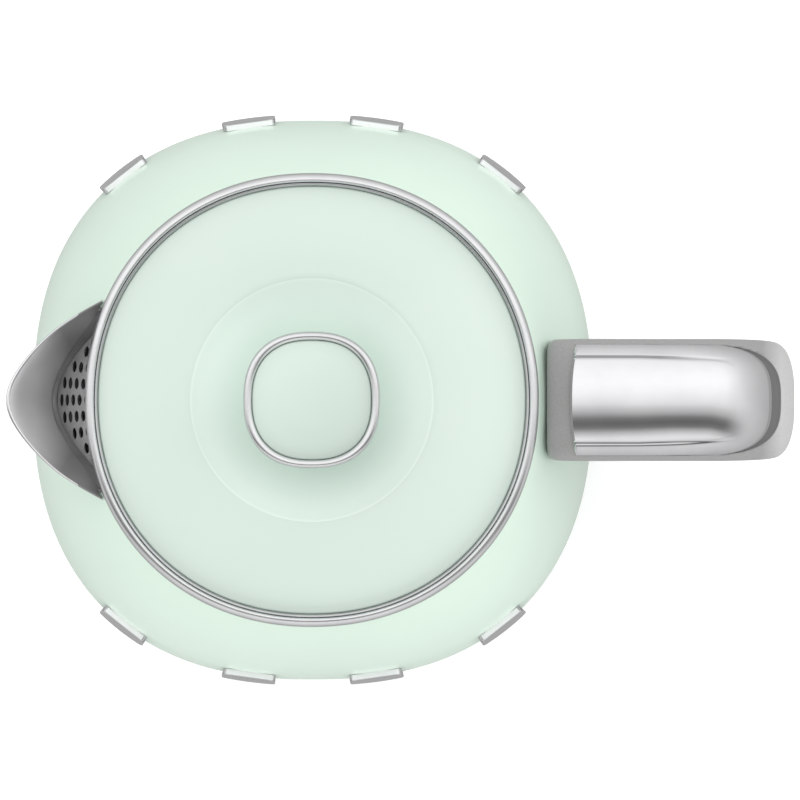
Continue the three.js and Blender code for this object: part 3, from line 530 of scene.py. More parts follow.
def make_materials():
    m = {
        "cap": cap_plating(),
        "grip": handle_plastic(),
        "mint_knob": knob_enamel(),
        "beak": beak_steel(),
        "throat": throat_steel(),
    }

    def plain(key, name, base, grain, dark, light, sheen, marks=None, stretch=None,
              limits=(0.3, 0.7), rough=0.5, **sockets):
        """A finish of (roughness, metallic). Its colour, roughness and relief each follow a noise of
        (scale, detail), and the roughness its range and the relief its strength and distance too."""
        made = Finish(name, *base, **sockets)
        made.colour(made.noise(*grain), dark, light, *limits)
        made.roughness(made.noise(*sheen[:2]), *sheen[2:])
        if marks:
            vector = stretch and made.stretched(*stretch)
            made.relief(made.noise(*marks[:2], vector, rough), *marks[2:])
        m[key] = made.material

    def metal(key, name, dark, light, roughness, drift, marks, turn=None, stretch=None, scale=90):
        """A worn metal whose relief follows a noise that is turned round Z or stretched along an axis."""
        made = worn_metal(name, dark, light, roughness, drift, scale)
        vector = made.turned(*turn) if turn else stretch and made.stretched(*stretch)
        made.relief(made.noise(*marks[:2], vector), *marks[2:])
        m[key] = made.material

    for key, name, dark, light in (
        ("mint", "mint_enamel", (0.598, 0.702, 0.636), (0.62, 0.72, 0.656)),
        # painted light: a lighter copy of the mint for the dish round the knob
        ("mint_dish_lit", "painted_light_dish_enamel", (0.66, 0.77, 0.70), (0.68, 0.79, 0.72)),
        ("mint_body", "deeper_mint_enamel", (0.60, 0.738, 0.636), (0.622, 0.758, 0.656)),
        # painted highlight: a paler copy of the mint for the thin band round the dish
        ("mint_rim_highlight", "painted_highlight_mint_enamel", (0.69, 0.795, 0.72), (0.72, 0.82, 0.75)),
    ):
        sheen, marks = (60, 3, 0.3, 0.38), (420, 2, 0.04, 0.03)
        plain(key, name, (0.34, 0.0), (14, 4), dark, light, sheen, marks, **ENAMEL)

    plain("strainer", "strainer_steel", (0.45, 0.45), (120,), 0.50, 0.60, (60, 4, 0.4, 0.54),
          (1800, 3, 0.12, 0.03), (1, 1, 0.06))
    plain("shaded", "shaded_steel", (0.5, 0.45), (90,), 0.17, 0.22, (60, 4, 0.42, 0.56), (1500, 3, 0.1, 0.03))
    # painted highlight: a lighter plating for the up-facing tops of the side tiles
    plain("face", "painted_highlight_plating", (0.34, 0.25), (90,), (0.86, 0.86, 0.87), (0.91, 0.91, 0.92),
          (35, 4, 0.3, 0.4), (2600, 2, 0.06, 0.02))
    # painted shade: near-black steel for the walls of the strainer's holes
    plain("hole_wall_shade", "painted_shade_hole_steel", (0.6, 0.4), (300,), 0.03, 0.05, (200, 3, 0.52, 0.7))
    plain("grey", "grey_grained_plastic", (0.5, 0.0), (25, 4), (0.30, 0.305, 0.305), (0.35, 0.355, 0.355),
          (70, 4, 0.42, 0.56), (1100, 4, 0.35, 0.06), rough=0.7)
    plain("dark", "dark_grained_plastic", (0.55, 0.0), (30, 4), (0.022, 0.022, 0.024), (0.04, 0.04, 0.043),
          (80, 4, 0.45, 0.62), (1000, 4, 0.4, 0.07), rough=0.7)
    plain("rubber", "foot_rubber", (0.85, 0.0), (120, 5), 0.018, (0.045, 0.043, 0.042), (200, 4, 0.75, 0.95),
          (1400, 3, 0.4, 0.08), limits=(0.35, 0.75))
    plain("silicone", "seal_silicone", (0.5, 0.0), (60, 3), (0.66, 0.68, 0.66), (0.74, 0.76, 0.74),
          (90, 3, 0.42, 0.6), (900, 3, 0.15, 0.04), Subsurface_Weight=0.15, Subsurface_Scale=0.002)

    plated = {"marks": (700, 2, 0.03, 0.02), "stretch": (1, 0.2, 1)}
    metal("chrome", "chrome_plating", (0.80, 0.80, 0.815), (0.86, 0.86, 0.87), 0.09, 0.035, **plated)
    # a darker copy of the chrome, which paints shade on the tile ends and the knob band's sides
    metal("shelf", "shelf_plating", (0.60, 0.60, 0.61), (0.66, 0.66, 0.67), 0.22, 0.04, **plated)
    metal("satin", "satin_chrome", (0.76, 0.76, 0.77), (0.83, 0.83, 0.84), 0.24, 0.04,
          (2600, 2, 0.12, 0.03), turn=(1, 0.01, 1))
    metal("brushed", "circular_brushed_steel", (0.56, 0.56, 0.57), (0.68, 0.68, 0.69), 0.3, 0.06,
          (2200, 3, 0.2, 0.04), turn=(1, 0.006, 1))
    metal("inner", "deep_drawn_steel", (0.46, 0.46, 0.47), (0.58, 0.58, 0.59), 0.38, 0.07,
          (1600, 3, 0.2, 0.05), turn=(1, 0.01, 0.08), scale=40)
    metal("brass", "contact_brass", (0.56, 0.38, 0.13), (0.70, 0.50, 0.20), 0.26, 0.08,
          (1500, 3, 0.2, 0.04), turn=(1, 0.02, 1))
    metal("aluminium", "rolled_aluminium", (0.58, 0.58, 0.59), (0.70, 0.70, 0.71), 0.4, 0.08,
          (900, 3, 0.2, 0.05), stretch=(0.05, 1, 1))
    metal("screw", "plain_steel", 0.42, 0.56, 0.34, 0.08, (1200, 4, 0.25, 0.05), scale=200)
    return m


M = make_materials()
CARRIED = {
    "heat_spreader": "aluminium",
    "heating_element": "screw",
    "floor_seal": "silicone",
    "control_housing": "dark",
    "bimetal_disc": "brass",
    "upper_bracket": "screw",
    "lower_bracket": "screw",
    "switch_pivot": "screw",
    "strainer_clip_left": "strainer",
    "strainer_clip_right": "strainer",
}
for node, key in CARRIED.items():
    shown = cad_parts[node]
    shown.data.materials.clear()
    shown.data.materials.append(M[key])


# ---------------------------------------------------------------- jug: body and neck
def body_top(angle):
    """Height of the shell's upper edge at an angle: the neck, or lower behind the beak."""
    if math.cos(angle) > 0:
        return NECK_Z
    z = (THROAT_Z + THROAT_TOP) / 2
    for _ in range(30):
        y = polar(body_half(z), body_square(z), angle) * math.sin(angle)
        z = throat_edge(y)
    return NECK_Z if abs(y) > THROAT_HALF else z


def body_shell():
    rows, columns = 64, 288
    lip, rise = 0.3, 0.35  # the rounding of the shell's upper and lower edge, across the wall and up it
    tops = [body_top(2 * math.pi * j / columns) for j in range(columns)]

    def wall(inset, lower, upper):
        def at(t, s):
            j = round(s * columns) % columns
            angle = 2 * math.pi * j / columns
            z = FOOT_Z + lower + (tops[j] - upper - FOOT_Z - lower) * t
            r = polar(body_half(z) - inset, body_square(z), angle)
            return (r * math.cos(angle), r * math.sin(angle), z)

        return at

    skins = [
        grid(rows, columns, wall(0.0, rise, rise), True),
        grid(rows, columns, wall(WALL, rise, rise), True),
    ]
    lips = [
        grid(2, columns, wall(lip, 0.0, 0.0), True)[0],
        grid(2, columns, wall(WALL - lip, 0.0, 0.0), True)[0],
    ]
    verts, faces = merge(*skins)
    for level in (0, rows - 1):
        chain = [level * columns, None, None, rows * columns + level * columns]
        for k, edge in enumerate(lips):
            chain[k + 1] = len(verts)
            row = 0 if level == 0 else columns
            verts += edge[row : row + columns]
        for a, b in zip(chain, chain[1:]):
            faces += [(a + j, a + (j + 1) % columns, b + (j + 1) % columns, b + j) for j in range(columns)]

    def pick(c, n):
        if c.x < 0 and abs(c.y) < THROAT_HALF and c.z > throat_edge(c.y) - 0.5:
            return 2
        return 1 if n.x * c.x + n.y * c.y < 0 else 0

    finishes = [M["mint_body"], M["inner"], M["beak"]]
    piece("enamelled_body", (verts, faces), "jug", finishes, "body_shell", 40, pick)


def neck_ring():
    profile = [
        (62.05, 170.2), (62.05, 174.35), (63.5, 174.35), (63.9, 174.8), (63.88, 175.5), (63.62, 176.2),
        (63.15, 176.8), (62.6, 177.15), (62.1, 177.28), (61.7, 177.2), (61.45, 176.9), (61.36, 176.4),
        (61.35, 175.3), (61.35, 172.2), (58.6, 172.2), (58.6, 170.2),
    ]
    part = ring(soften([(r, z, NECK_SQ) for r, z in profile], 0.3, True, 3), 256)
    piece("neck_ring_trim", part, "jug", M["satin"], "neck_ring", 60)


# ---------------------------------------------------------------- jug: beak and strainer
def body_reach(y, z, inset=0.0):
    """How far out along X the body's wall lies at (y, z)."""
    n = body_square(z)
    return max(0.0, (body_half(z) - inset) ** n - abs(y) ** n) ** (1 / n)


def rim_depth(y):
    """How far behind the beak's tip its rim lies at y."""
    return (abs(y) / (4.5 + 0.9 * blend_step(abs(y) / 22))) ** 2


def beak_point(u, v, inset):
    """u runs across the beak from -1 to 1, and v from its root on the wall, at 0, to its rim, at 1."""
    side = math.copysign(abs(u) ** 0.8, u)
    y = side * (RIM_HALF - inset)
    rim = Vector((TIP_X + inset + rim_depth(y), y, RIM_TIP_Z + (RIM_ROOT_Z - RIM_TIP_Z) * abs(u) ** 1.5))
    root_y = side * (THROAT_HALF + 1.2 - inset)
    root_z = min(throat_edge(root_y) - 1 + inset, RIM_ROOT_Z - 1.5)
    root = Vector((-body_reach(root_y, root_z, 0.6), root_y, root_z))
    belly = 1.6 * math.sin(math.pi * v) * (1 - u * u)  # the sheet bulges by this much
    return root.lerp(rim, v) + Vector((-belly, 0, -belly * 0.5))


def spout_beak():
    across, up = 121, 34
    sheet = 1.1
    lip = [(0.0, 0.0), (0.12, 0.16), (0.38, 0.3), (0.72, 0.3), (0.98, 0.16), (sheet, 0.0)]

    def skin(inset):
        return lambda t, s: tuple(beak_point(2 * s - 1, t, inset))

    outer, inner = grid(up, across, skin(0.0)), grid(up, across, skin(sheet))
    verts, faces = merge(outer, inner)
    base = up * across
    chain = [(up - 1) * across]
    for inset, rise in lip[1:-1]:
        chain.append(len(verts))
        for j in range(across):
            p = beak_point(2 * j / (across - 1) - 1, 1.0, inset)
            verts.append((p.x, p.y, p.z + rise))
    chain.append(base + (up - 1) * across)
    for a, b in zip(chain, chain[1:]):
        faces += [(a + j, a + j + 1, b + j + 1, b + j) for j in range(across - 1)]
    for j in (0, across - 1):
        for i in range(up - 1):
            a, b = i * across + j, (i + 1) * across + j
            faces.append((a, b, base + b, base + a))
        faces.append(tuple(c + j for c in chain))
    faces += [(j, j + 1, base + j + 1, base + j) for j in range(across - 1)]

    def pick(c, n):
        edge = RIM_TIP_Z + (RIM_ROOT_Z - RIM_TIP_Z) * min(1.0, abs(c.y) / RIM_HALF) ** 1.9
        return 1 if c.x < -66 and c.z > edge - 0.05 and n.z > 0.2 else 0

    def lining(height):
        """Covers the wall's edge, from the beak's root to the strainer."""

        def at(t, s):
            y = 0.95 * THROAT_HALF * (2 * s - 1)
            z = throat_edge(y) + 0.4
            inset = 0.5 + (strainer_inset(z) - 0.8) * t
            return (-body_reach(y, z, inset), y, z + height - 0.7 * t * t)

        return at

    finishes = [M["beak"], M["chrome"]]
    piece("pouring_beak", (verts, faces), "jug", finishes, "spout_beak", 60, pick)
    over = between(6, across, lining(0.12), lining(-0.12))
    piece("throat_lining", over, "jug", M["throat"], None, 60)


def strainer_inset(z):
    return 1.9 + 1.7 * (z - SHEET_LOW) / (SHEET_TOP - SHEET_LOW)


def strainer_place(u, v, depth):
    """u runs round the wall in millimetres of its plan, v up it, and depth towards the spout."""
    angle = math.pi - u / SHEET_RADIUS
    r = polar(body_half(v) - strainer_inset(v) - depth, body_square(v), angle)
    return (r * math.cos(angle), r * math.sin(angle), v)


def strainer():
    half = SHEET_RADIUS * SHEET_ANGLE
    mid, half_height = (SHEET_LOW + SHEET_TOP) / 2, (SHEET_TOP - SHEET_LOW) / 2
    outline = [(u, v + mid) for u, v in rounded_rect(half, half_height, 1.6, 4)]
    holes = []
    for column in range(-4, 5):
        y = column * HOLE_PITCH
        z = HOLE_FIRST + (HOLE_RISE / 2 if column % 2 else 0.0)
        while z < SHEET_TOP - 2.5:
            if z >= throat_edge(y) + 3.4:
                holes.append(circle(HOLE, 20, (SHEET_RADIUS * math.asin(y / SHEET_RADIUS), z)))
            z += HOLE_RISE
    part = plate(outline, holes, 1.5, strainer_place, 0.45, 0.0, -0.1)

    def pick(c, n):
        """Painted shade: the walls of the holes get a near-black steel, darker than the sheet."""
        facing = abs(n.x * c.x + n.y * c.y) / math.hypot(c.x, c.y)
        within = SHEET_LOW + 1.0 < c.z < SHEET_TOP - 1.0 and abs(c.y) < 21.0
        return 1 if facing < 0.75 and within else 0

    finishes = [M["strainer"], M["hole_wall_shade"]]
    piece("strainer_sheet", part, "strainer", finishes, "strainer_plate", 45, pick)

    rim = [(u, v + mid - 0.35) for u, v in rounded_rect(half, half_height + 0.6, 1.8, 4)]
    window = [(u, v + mid) for u, v in rounded_rect(half - 3.6, half_height - 2.5, 1.6, 4)]
    part = plate(rim, [window], 1.8, strainer_place, 2.3, 1.1, -0.25)
    piece("strainer_surround", part, "strainer", M["shaded"], "strainer_frame", 45)


# ---------------------------------------------------------------- jug: handle
HANDLE = [  # x, z, half-thickness, half-width and squareness of the handle's sections
    (66.2, 162.2, 7.8, 17.0, 5), (74, 164, 7.6, 17.2, 5), (90, 165.8, 7.4, 17.2, 4.6),
    (105, 164.6, 7.3, 17.2, 4), (116, 160, 7.2, 17.2, 3.4), (124, 151.5, 7.1, 17, 3),
    (128.6, 139, 7.2, 16.6, 2.7), (129.1, 124, 7.2, 16, 2.5), (127, 108, 7, 15.2, 2.5),
    (121, 91, 6.8, 14.4, 2.6), (110.5, 75, 6.5, 13.6, 2.8), (96.5, 62.5, 6.3, 13, 3),
    (83, 55.5, 6.4, 12.8, 3.2), (70, 52, 6.6, 12.8, 3.2),
]
ROOT_X, ROOT_ROUND = 66.2, 2.8  # the handle's upper arm begins here, with rounded corners


def spline(points, t):
    """Point and tangent of a centripetal Catmull-Rom curve through the points, at a share of its spans."""
    last = len(points) - 1
    i = min(last - 1, int(t * last))
    w = t * last - i
    p1, p2 = points[i], points[i + 1]
    p0 = points[i - 1] if i > 0 else tuple(2 * a - b for a, b in zip(p1, p2))
    p3 = points[i + 2] if i + 2 <= last else tuple(2 * a - b for a, b in zip(p2, p1))
    d0, d1, d2 = (math.sqrt(max(1e-6, math.dist(a[:2], b[:2]))) for a, b in ((p0, p1), (p1, p2), (p2, p3)))
    value, slope = [], []
    for a, b, c, d in zip(p0, p1, p2, p3):
        t1 = ((b - a) / d0 - (c - a) / (d0 + d1) + (c - b) / d1) * d1
        t2 = ((c - b) / d1 - (d - b) / (d1 + d2) + (d - c) / d2) * d1
        c2, c3 = -3 * b + 3 * c - 2 * t1 - t2, 2 * b - 2 * c + t1 + t2
        value.append(b + t1 * w + c2 * w * w + c3 * w**3)
        slope.append(t1 + 2 * c2 * w + 3 * c3 * w * w)
    return value, slope


def handle_station(t):
    (x, z, *section), slope = spline(HANDLE, t)
    length = math.hypot(slope[0], slope[1])
    return (x, z, -slope[1] / length, slope[0] / length, *section)


STATIONS = 260
TRACK = [handle_station(i / STATIONS) for i in range(STATIONS + 1)]


def track(t):
    """The handle's section at a share of its length: x, z, outward x and z, thickness, width, squareness."""
    f = min(max(t, 0.0), 1.0) * STATIONS
    i = min(STATIONS - 1, int(f))
    return [a + (b - a) * (f - i) for a, b in zip(TRACK[i], TRACK[i + 1])]


def cap_end(y):
    """X of the cap's rounded far end at y."""
    rest = max(0.0, 1 - (abs(y) / CAP_HALF) ** CAP_SQUARE)
    return CAP_ROUND + (CAP_END - CAP_ROUND) * rest ** (1 / CAP_SQUARE)


def cap_start(y):
    """X of the cap's near end at y: it curves away a little at its corners."""
    return CAP_START + 1.9 * (abs(y) / CAP_HALF) ** 2.4


def handle_top(x, y, lift):
    """The point of the handle's outer side that lies over (x, y), lifted off it."""

    def over(t):
        cx, cz, ox, oz, thick, half, square = track(t)
        reach = thick * max(0.0, 1 - (abs(y) / half) ** square) ** (1 / square) + lift
        return (cx + ox * reach, y, cz + oz * reach)

    low, high = 0.0, 0.55
    for _ in range(22):
        mid = (low + high) / 2
        if over(mid)[0] < x:
            low = mid
        else:
            high = mid
    return over(low)


def channel_depth(x, y):
    """How far the moulding is sunk at (x, y): a shallow step past the cap's far end, under its edge too."""
    under = 1.5  # the step begins this far under the cap's edge
    edge = cap_end(y)
    width = CHANNEL * (edge - CAP_ROUND) / (CAP_END - CAP_ROUND)
    away = x - edge
    if abs(y) > CAP_HALF or x < CAP_ROUND or width < 0.3 or away < -under or away > 1.25 * width:
        return 0.0
    return 0.3 * width * blend_step(away + under) * (1 - blend_step((away / width - 0.95) / 0.3))


def handle_core():
    around, along = 144, 420

    def at(t, s):
        cx, cz, ox, oz, thick, half, square = track(t)
        angle = 2 * math.pi * s
        r = polar(1.0, square, angle)
        out = r * math.cos(angle) * thick
        x = cx + ox * out
        if t < 0.3:
            near_root = min(1.0, max(0.0, (ROOT_X + ROOT_ROUND - x) / ROOT_ROUND))
            rounding = ROOT_ROUND * (1 - math.sqrt(1 - near_root**2))
            half -= rounding
            out *= 1 - 0.02 * rounding
            x = max(ROOT_X, cx + ox * out)
        y = r * math.sin(angle) * half
        sink = channel_depth(cx + ox * out, y) if out > 0 and t < 0.55 else 0.0
        seam = 0.35 * math.exp(-((out + 0.25 * thick) ** 2) / 0.12) if t > 0.05 else 0.0
        y -= math.copysign(seam, y)
        return (x - ox * sink, y, cz + oz * (out - sink))

    verts, faces = grid(along + 1, around, at, True)
    for end in (0, along):
        faces.append(tuple(end * around + j for j in range(around)))
    kept = []
    for x, y, z in verts:
        surface = body_reach(y, min(max(z, FOOT_Z), NECK_Z)) + 0.2
        kept.append((min(max(x, surface), HANDLE_FAR), y, z))
    piece("handle_moulding", (kept, faces), "jug", M["grip"], "handle_core", 45)


def handle_cap():
    rows, columns = 130, 161
    shelf = 1.15

    def crown(y, x):
        """Height of the cap over the moulding: a crown between two creases that melt into a plain dome."""
        a = abs(y)
        along = (x - CREASE_BEND[0]) / (CREASE_BEND[1] - CREASE_BEND[0])
        crease = CREASE - CREASE_LEAN * min(1.0, max(0.0, along))
        if a < crease:
            creased = shelf + 2.25 * (1 - (a / crease) ** 2)
        else:
            creased = shelf - 0.9 * ((a - crease) / (CAP_HALF - crease)) ** 1.6
        creased -= 0.24 * math.exp(-(((a - crease) / 0.5) ** 2))
        domed = -0.3 + 3.7 * (1 - (a / CAP_HALF) ** 2)
        melt = blend_step((x - 100) / 22)
        return creased + (domed - creased) * melt

    def at(rise):
        def point(t, s):
            a = math.sin((s - 0.5) * math.pi)
            y = CAP_HALF * (0.35 * a + 0.65 * (2 * s - 1))
            u = 1 - (1 - t) ** 1.7
            x0, x1 = cap_start(y), cap_end(y)
            x = x0 + (x1 - x0) * u
            edge = min(1.0, (x - x0) / 0.7, (x1 - x) / 0.9)
            round_off = math.sqrt(max(0.0, 1 - (1 - max(0.0, edge)) ** 2))
            fall = blend_step((x - 112) / 18)
            height = rise * crown(y, x) * (1 - 0.45 * fall) * (0.35 + 0.65 * round_off)
            return handle_top(x, y, 0.3 + height)

        return point

    part = between(rows, columns, at(1.0), at(0.0))
    piece("handle_cap_plated", part, "jug", M["cap"], "handle_cap")


# ---------------------------------------------------------------- jug: trim tiles
def trim_tiles():
    width, height, centre_z = 7.5, 9.0, 108.0
    outline = rounded_rect(width, height, 2.0, 6)
    for i, degrees in enumerate((50, 77, 103, 130), 1):
        for side, name in ((1, "left"), (-1, "right")):
            middle = math.radians(degrees) * side
            r0 = polar(body_half(centre_z), body_square(centre_z), middle)

            def place(u, v, depth, middle=middle, r0=r0):
                z = centre_z + v
                angle = middle + u / r0
                n = body_square(z)
                r = polar(body_half(z), n, angle)
                x, y = r * math.cos(angle), r * math.sin(angle)
                nx = math.copysign(abs(x) ** (n - 1), x)
                ny = math.copysign(abs(y) ** (n - 1), y)
                lean = math.atan(body_half(z - 0.5) - body_half(z + 0.5))
                k = math.cos(lean) / math.hypot(nx, ny)
                return (x + nx * k * depth, y + ny * k * depth, z + math.sin(lean) * depth)

            def pick(c, n, middle=middle):
                """Painted light: the top edge gets a lighter plating as a painted highlight and the ends a
                darker one as painted shade; the outer face gets satin plating, unlike the polished bevels.
                """
                outwards = n.x * math.cos(middle) + n.y * math.sin(middle)
                along = n.y * math.cos(middle) - n.x * math.sin(middle)
                if n.z > 0.85:
                    return 1
                if outwards > 0.9:
                    return 3
                return 2 if abs(along) > 0.6 else 0

            part = plate(outline, [], 1.7, place, 0.1, 1.8, 0.25)
            finishes = [M["chrome"], M["face"], M["shelf"], M["satin"]]
            node = f"trim_tile_{name}_{i}"
            piece(f"side_tile_{name}_{i}", part, "jug", finishes, node, pick=pick)


# ---------------------------------------------------------------- lid
def lid():
    bowl = [
        (2.9, 173.25), (8.0, 173.4), (13.0, 174.0), (18.0, 174.95), (23.0, 176.1), (28.5, 177.48),
        (33.7, 178.95),
    ]
    dome = [
        (34.3, 179.3, 2.0), (35.6, 179.42, 2.0), (42.0, 179.05, 2.02), (48.0, 178.2, 2.04),
        (54.0, 176.85, 2.07), (58.5, 175.6, 2.09), (59.85, 175.15, 2.1), (60.18, 174.7, 2.1),
    ]
    underneath = [
        (60.0, 173.6, 2.1), (59.0, 173.9, 2.1), (54.0, 175.3, 2.07), (46.0, 177.0, 2.03), (35.2, 177.8, 2.0),
        (28.5, 175.6, 2.0), (18.0, 173.0, 2.0), (8.0, 171.8, 2.0), (2.9, 171.75, 2.0),
    ]
    dish_edge, dome_edge = 33.6, 34.5  # the thin band of paler enamel round the dish lies between these radii
    top = soften([(r, z, 2.0) for r, z in bowl], 2.2, False, 6) + soften(dome, 2.2, False, 6)
    part = ring(top + soften(underneath, 1.6, False, 5), 240)

    # painted light: the dish takes the lighter mint, and the thin band round it the painted highlight
    def pick(c, n):
        r = math.hypot(c.x, c.y)
        if n.z < 0 or r > dome_edge:
            return 0
        return 1 if r > dish_edge else 2

    finishes = [M["mint"], M["mint_rim_highlight"], M["mint_dish_lit"]]
    piece("lid_dome", part, "lid", finishes, "lid_cover", 50, pick)

    rim = [
        (60.22, 172.6, 2.1), (61.0, 172.6, 2.1), (61.3, 174.4, 2.1), (61.28, 175.6, 2.1),
        (61.0, 175.95, 2.1), (60.65, 175.85, 2.1), (60.4, 175.3, 2.1), (60.22, 174.95, 2.1),
    ]
    trim = ring(soften(rim, 0.12, True, 3), 240)
    piece("lid_edge_trim", trim, "lid", M["shelf"], "lid_ring", 50)

    pan = [
        (2.7, 169.6), (7.0, 169.6), (8.5, 170.0), (30.0, 170.0), (31.5, 169.6), (52.8, 169.6), (54.4, 171.0),
        (54.4, 172.2), (53.4, 172.2), (53.4, 171.2), (52.4, 170.6), (2.7, 170.8),
    ]
    vent = ring(round_profile([(1.0, 169.45), (2.3, 169.45), (2.3, 169.75), (1.0, 169.75)], 0.1), 24)
    vents = [moved(vent, round_place(40, 60 * i)) for i in range(6)]
    part = merge(ring(round_profile(pan, 0.5), 160), *vents)
    piece("lid_pan", part, "lid", M["inner"], "lid_plug")

    lips = [
        (54.8, 170.4, 2.0), (56.6, 170.4, 2.05), (58.1, 170.9, 2.1), (56.8, 171.2, 2.05),
        (58.1, 171.6, 2.1), (56.6, 172.0, 2.05), (54.8, 172.0, 2.0),
    ]
    seal = ring(soften(lips, 0.25, True, 3), 200)
    piece("lid_gasket", seal, "lid", M["silicone"], "lid_seal", 50)


def knob():
    q = 2.4  # squareness of the knob seen from above
    stem = [
        (0.0, 173.5, 2.0), (8.6, 173.5, 2.0), (8.2, 174.6, 2.0), (7.0, 176.2, 2.0), (6.8, 179.5, 2.05),
        (8.4, 182.8, 2.1), (12.4, 185.4, 2.25), (17.4, 186.9, q), (18.2, 187.5, q), (18.1, 188.05, q),
        (0.0, 188.05, q),
    ]
    part = ring(soften(stem, 1.2, False, 5), 128, False)
    piece("knob_stem", part, "lid", M["mint"], "knob_base", 45)
    band = [
        (16.85, 188.4), (18.6, 188.4), (19.2, 189.4), (19.25, 192.6), (19.1, 193.3),
        (18.7, 193.85), (18.1, 194.1), (17.4, 193.95), (16.95, 193.4), (16.85, 192.9),
    ]
    part = ring(soften([(r, z, q) for r, z in band], 0.5, True, 5), 160)

    # painted shade: the band's sides and underside take the darker plating, its top the satin
    def pick(c, n):
        return 1 if n.z < 0.6 else 0

    piece("knob_band", part, "lid", [M["satin"], M["shelf"]], "knob_ring", 60, pick)
    inlay = [
        (0.0, 188.4, q), (16.5, 188.4, q), (16.75, 188.8, q), (16.78, 192.6, q),
        (16.5, 192.95, q), (13.0, 193.7, 2.35), (8.0, 194.4, 2.25), (0.0, 194.78, 2.2),
    ]
    part = ring(soften(inlay, 0.8, False, 5), 160, False)
    piece("knob_inlay", part, "lid", M["mint_knob"], "knob_cap", 50)


# ---------------------------------------------------------------- screws
def cross_screw(head_radius, head, shank_radius, shank):
    """A pan-head screw along -Z with its head's top at 0, and a cross recess in it."""
    reach, w = 0.62 * head_radius, 0.16 * head_radius
    arm = [(w, reach), (-w, reach), (-w, w)]
    cross = []
    for _ in range(4):
        cross += arm
        arm = [(-y, x) for x, y in arm]
    tip = shank_radius - 0.5
    profile = [
        (0.0, -0.5 * head), (head_radius - 0.02, -0.5 * head), (head_radius - 0.05, -head),
        (shank_radius, -head), (shank_radius, -shank), (tip, -shank - 0.6), (0.0, -shank - 0.6),
    ]
    top = plate(circle(head_radius, 32), [cross], 1.0, flat_place, -0.55 * head, 0.0, 0.14)
    return merge(top, ring(round_profile(profile, 0.12, False), 32, False))


def screws():
    """The screws are all driven upwards, so each is turned over to have its head below."""
    over = Matrix.Rotation(math.pi, 4, "X")
    sets = (
        ("base", "power_base", (0, 120, 240), 42, 1.7, 0.4, (3.3, 1.3, 1.5, 10.5)),
        ("cover", "jug", (60, 180, 300), 50, 17.3, 0.5, (3.0, 0.9, 1.5, 9.5)),
    )
    for kind, body, angles, radius, z, twist, sizes in sets:
        for i, degrees in enumerate(angles, 1):
            at = round_place(radius, degrees, z) @ over @ Matrix.Rotation(twist * i, 4, "Z")
            part = moved(cross_screw(*sizes), at)
            piece(f"{kind}_cross_screw_{i}", part, body, M["screw"], f"{kind}_screw_{i}", 35)
    for name, node, body, x, z, sizes in (
        ("handle_cross_screw_upper", "handle_screw_upper", "jug", 82, 158.8, (3.5, 2.0, 2.0, 7.4)),
        ("handle_cross_screw_lower", "handle_screw_lower", "jug", 84, 50.8, (3.5, 2.0, 2.0, 7.4)),
        ("knob_cross_screw", "knob_screw", "lid", 0, 167.6, (4.0, 1.6, 1.9, 12.6)),
    ):
        at = Matrix.Translation((x, 0, z)) @ over
        piece(name, moved(cross_screw(*sizes), at), body, M["screw"], node, 35)


# ---------------------------------------------------------------- jug: underside
def underside():
    lever_gap = math.asin(8.5 / 66.5)
    lower = round_profile([(66.0, 20.6), (66.9, 28.3), (65.4, 28.3), (64.5, 20.6)], 0.3)
    upper = round_profile([(66.95, 28.3), (67.45, 28.5), (67.45, 29.6), (66.0, 29.6), (65.5, 28.3)], 0.25)
    part = merge(ring(lower, 180, True, (lever_gap, 2 * math.pi - lever_gap)), ring(upper, 180))
    piece("skirt_band", part, "jug", M["brushed"], "skirt_ring")

    profile = [
        (19.4, 18.2), (21.0, 17.9), (22.6, 18.2), (34.0, 18.2), (34.6, 18.6), (36.4, 18.6), (37.0, 18.2),
        (57.4, 18.2), (58.0, 17.4), (62.0, 17.4), (63.4, 18.2), (64.0, 20.2), (19.4, 20.2),
    ]
    ears = []
    for side in (-1, 1):
        outline = [(58.4, 19.4), (62.2, 19.4), (62.6, 24.6)]
        turns = (0.2, 0.6, 1.1, 1.57, 2.1, 2.6, 3.0)
        outline += [(61.0 + 2.4 * math.cos(t), 25.2 + 2.4 * math.sin(t)) for t in turns]

        def place(u, v, depth, side=side):
            return (u, side * (11.0 + depth), v)

        ears.append(plate(outline, [], 1.6, place, -1.4, 1.4, 0.25))
    part = merge(ring(round_profile(profile, 0.35), 160), *ears)
    piece("underside_cover", part, "jug", M["grey"], "bottom_cover")

    floor_z, clearance = 46.0, 1.5
    reach, q = body_half(floor_z) - clearance, body_square(floor_z)
    profile = [
        (0.0, 46.0), (70.0, 46.0), (73.1, 46.0), (73.3, 46.6), (73.1, 47.2),
        (70.5, 47.2), (69.6, 46.9), (62.0, 46.9), (60.8, 47.2), (0.0, 47.2),
    ]
    part = ring(soften([(min(r, reach), z, q) for r, z in profile], 0.4, False), 160, False)
    piece("heated_floor_plate", part, "jug", M["brushed"], "heated_floor")

    socket = [
        (13.2, 19.2), (14.2, 19.2), (14.6, 19.7), (17.6, 19.7), (18.0, 19.2), (18.6, 19.2), (18.6, 34.6),
        (0.0, 34.6), (0.0, 32.4), (3.4, 32.4), (3.4, 30.6), (10.6, 30.6), (10.6, 24.6), (13.2, 24.6),
    ]
    part = ring(round_profile(socket, 0.2), 96)
    piece("socket_moulding", part, "socket", M["dark"], "connector_socket")


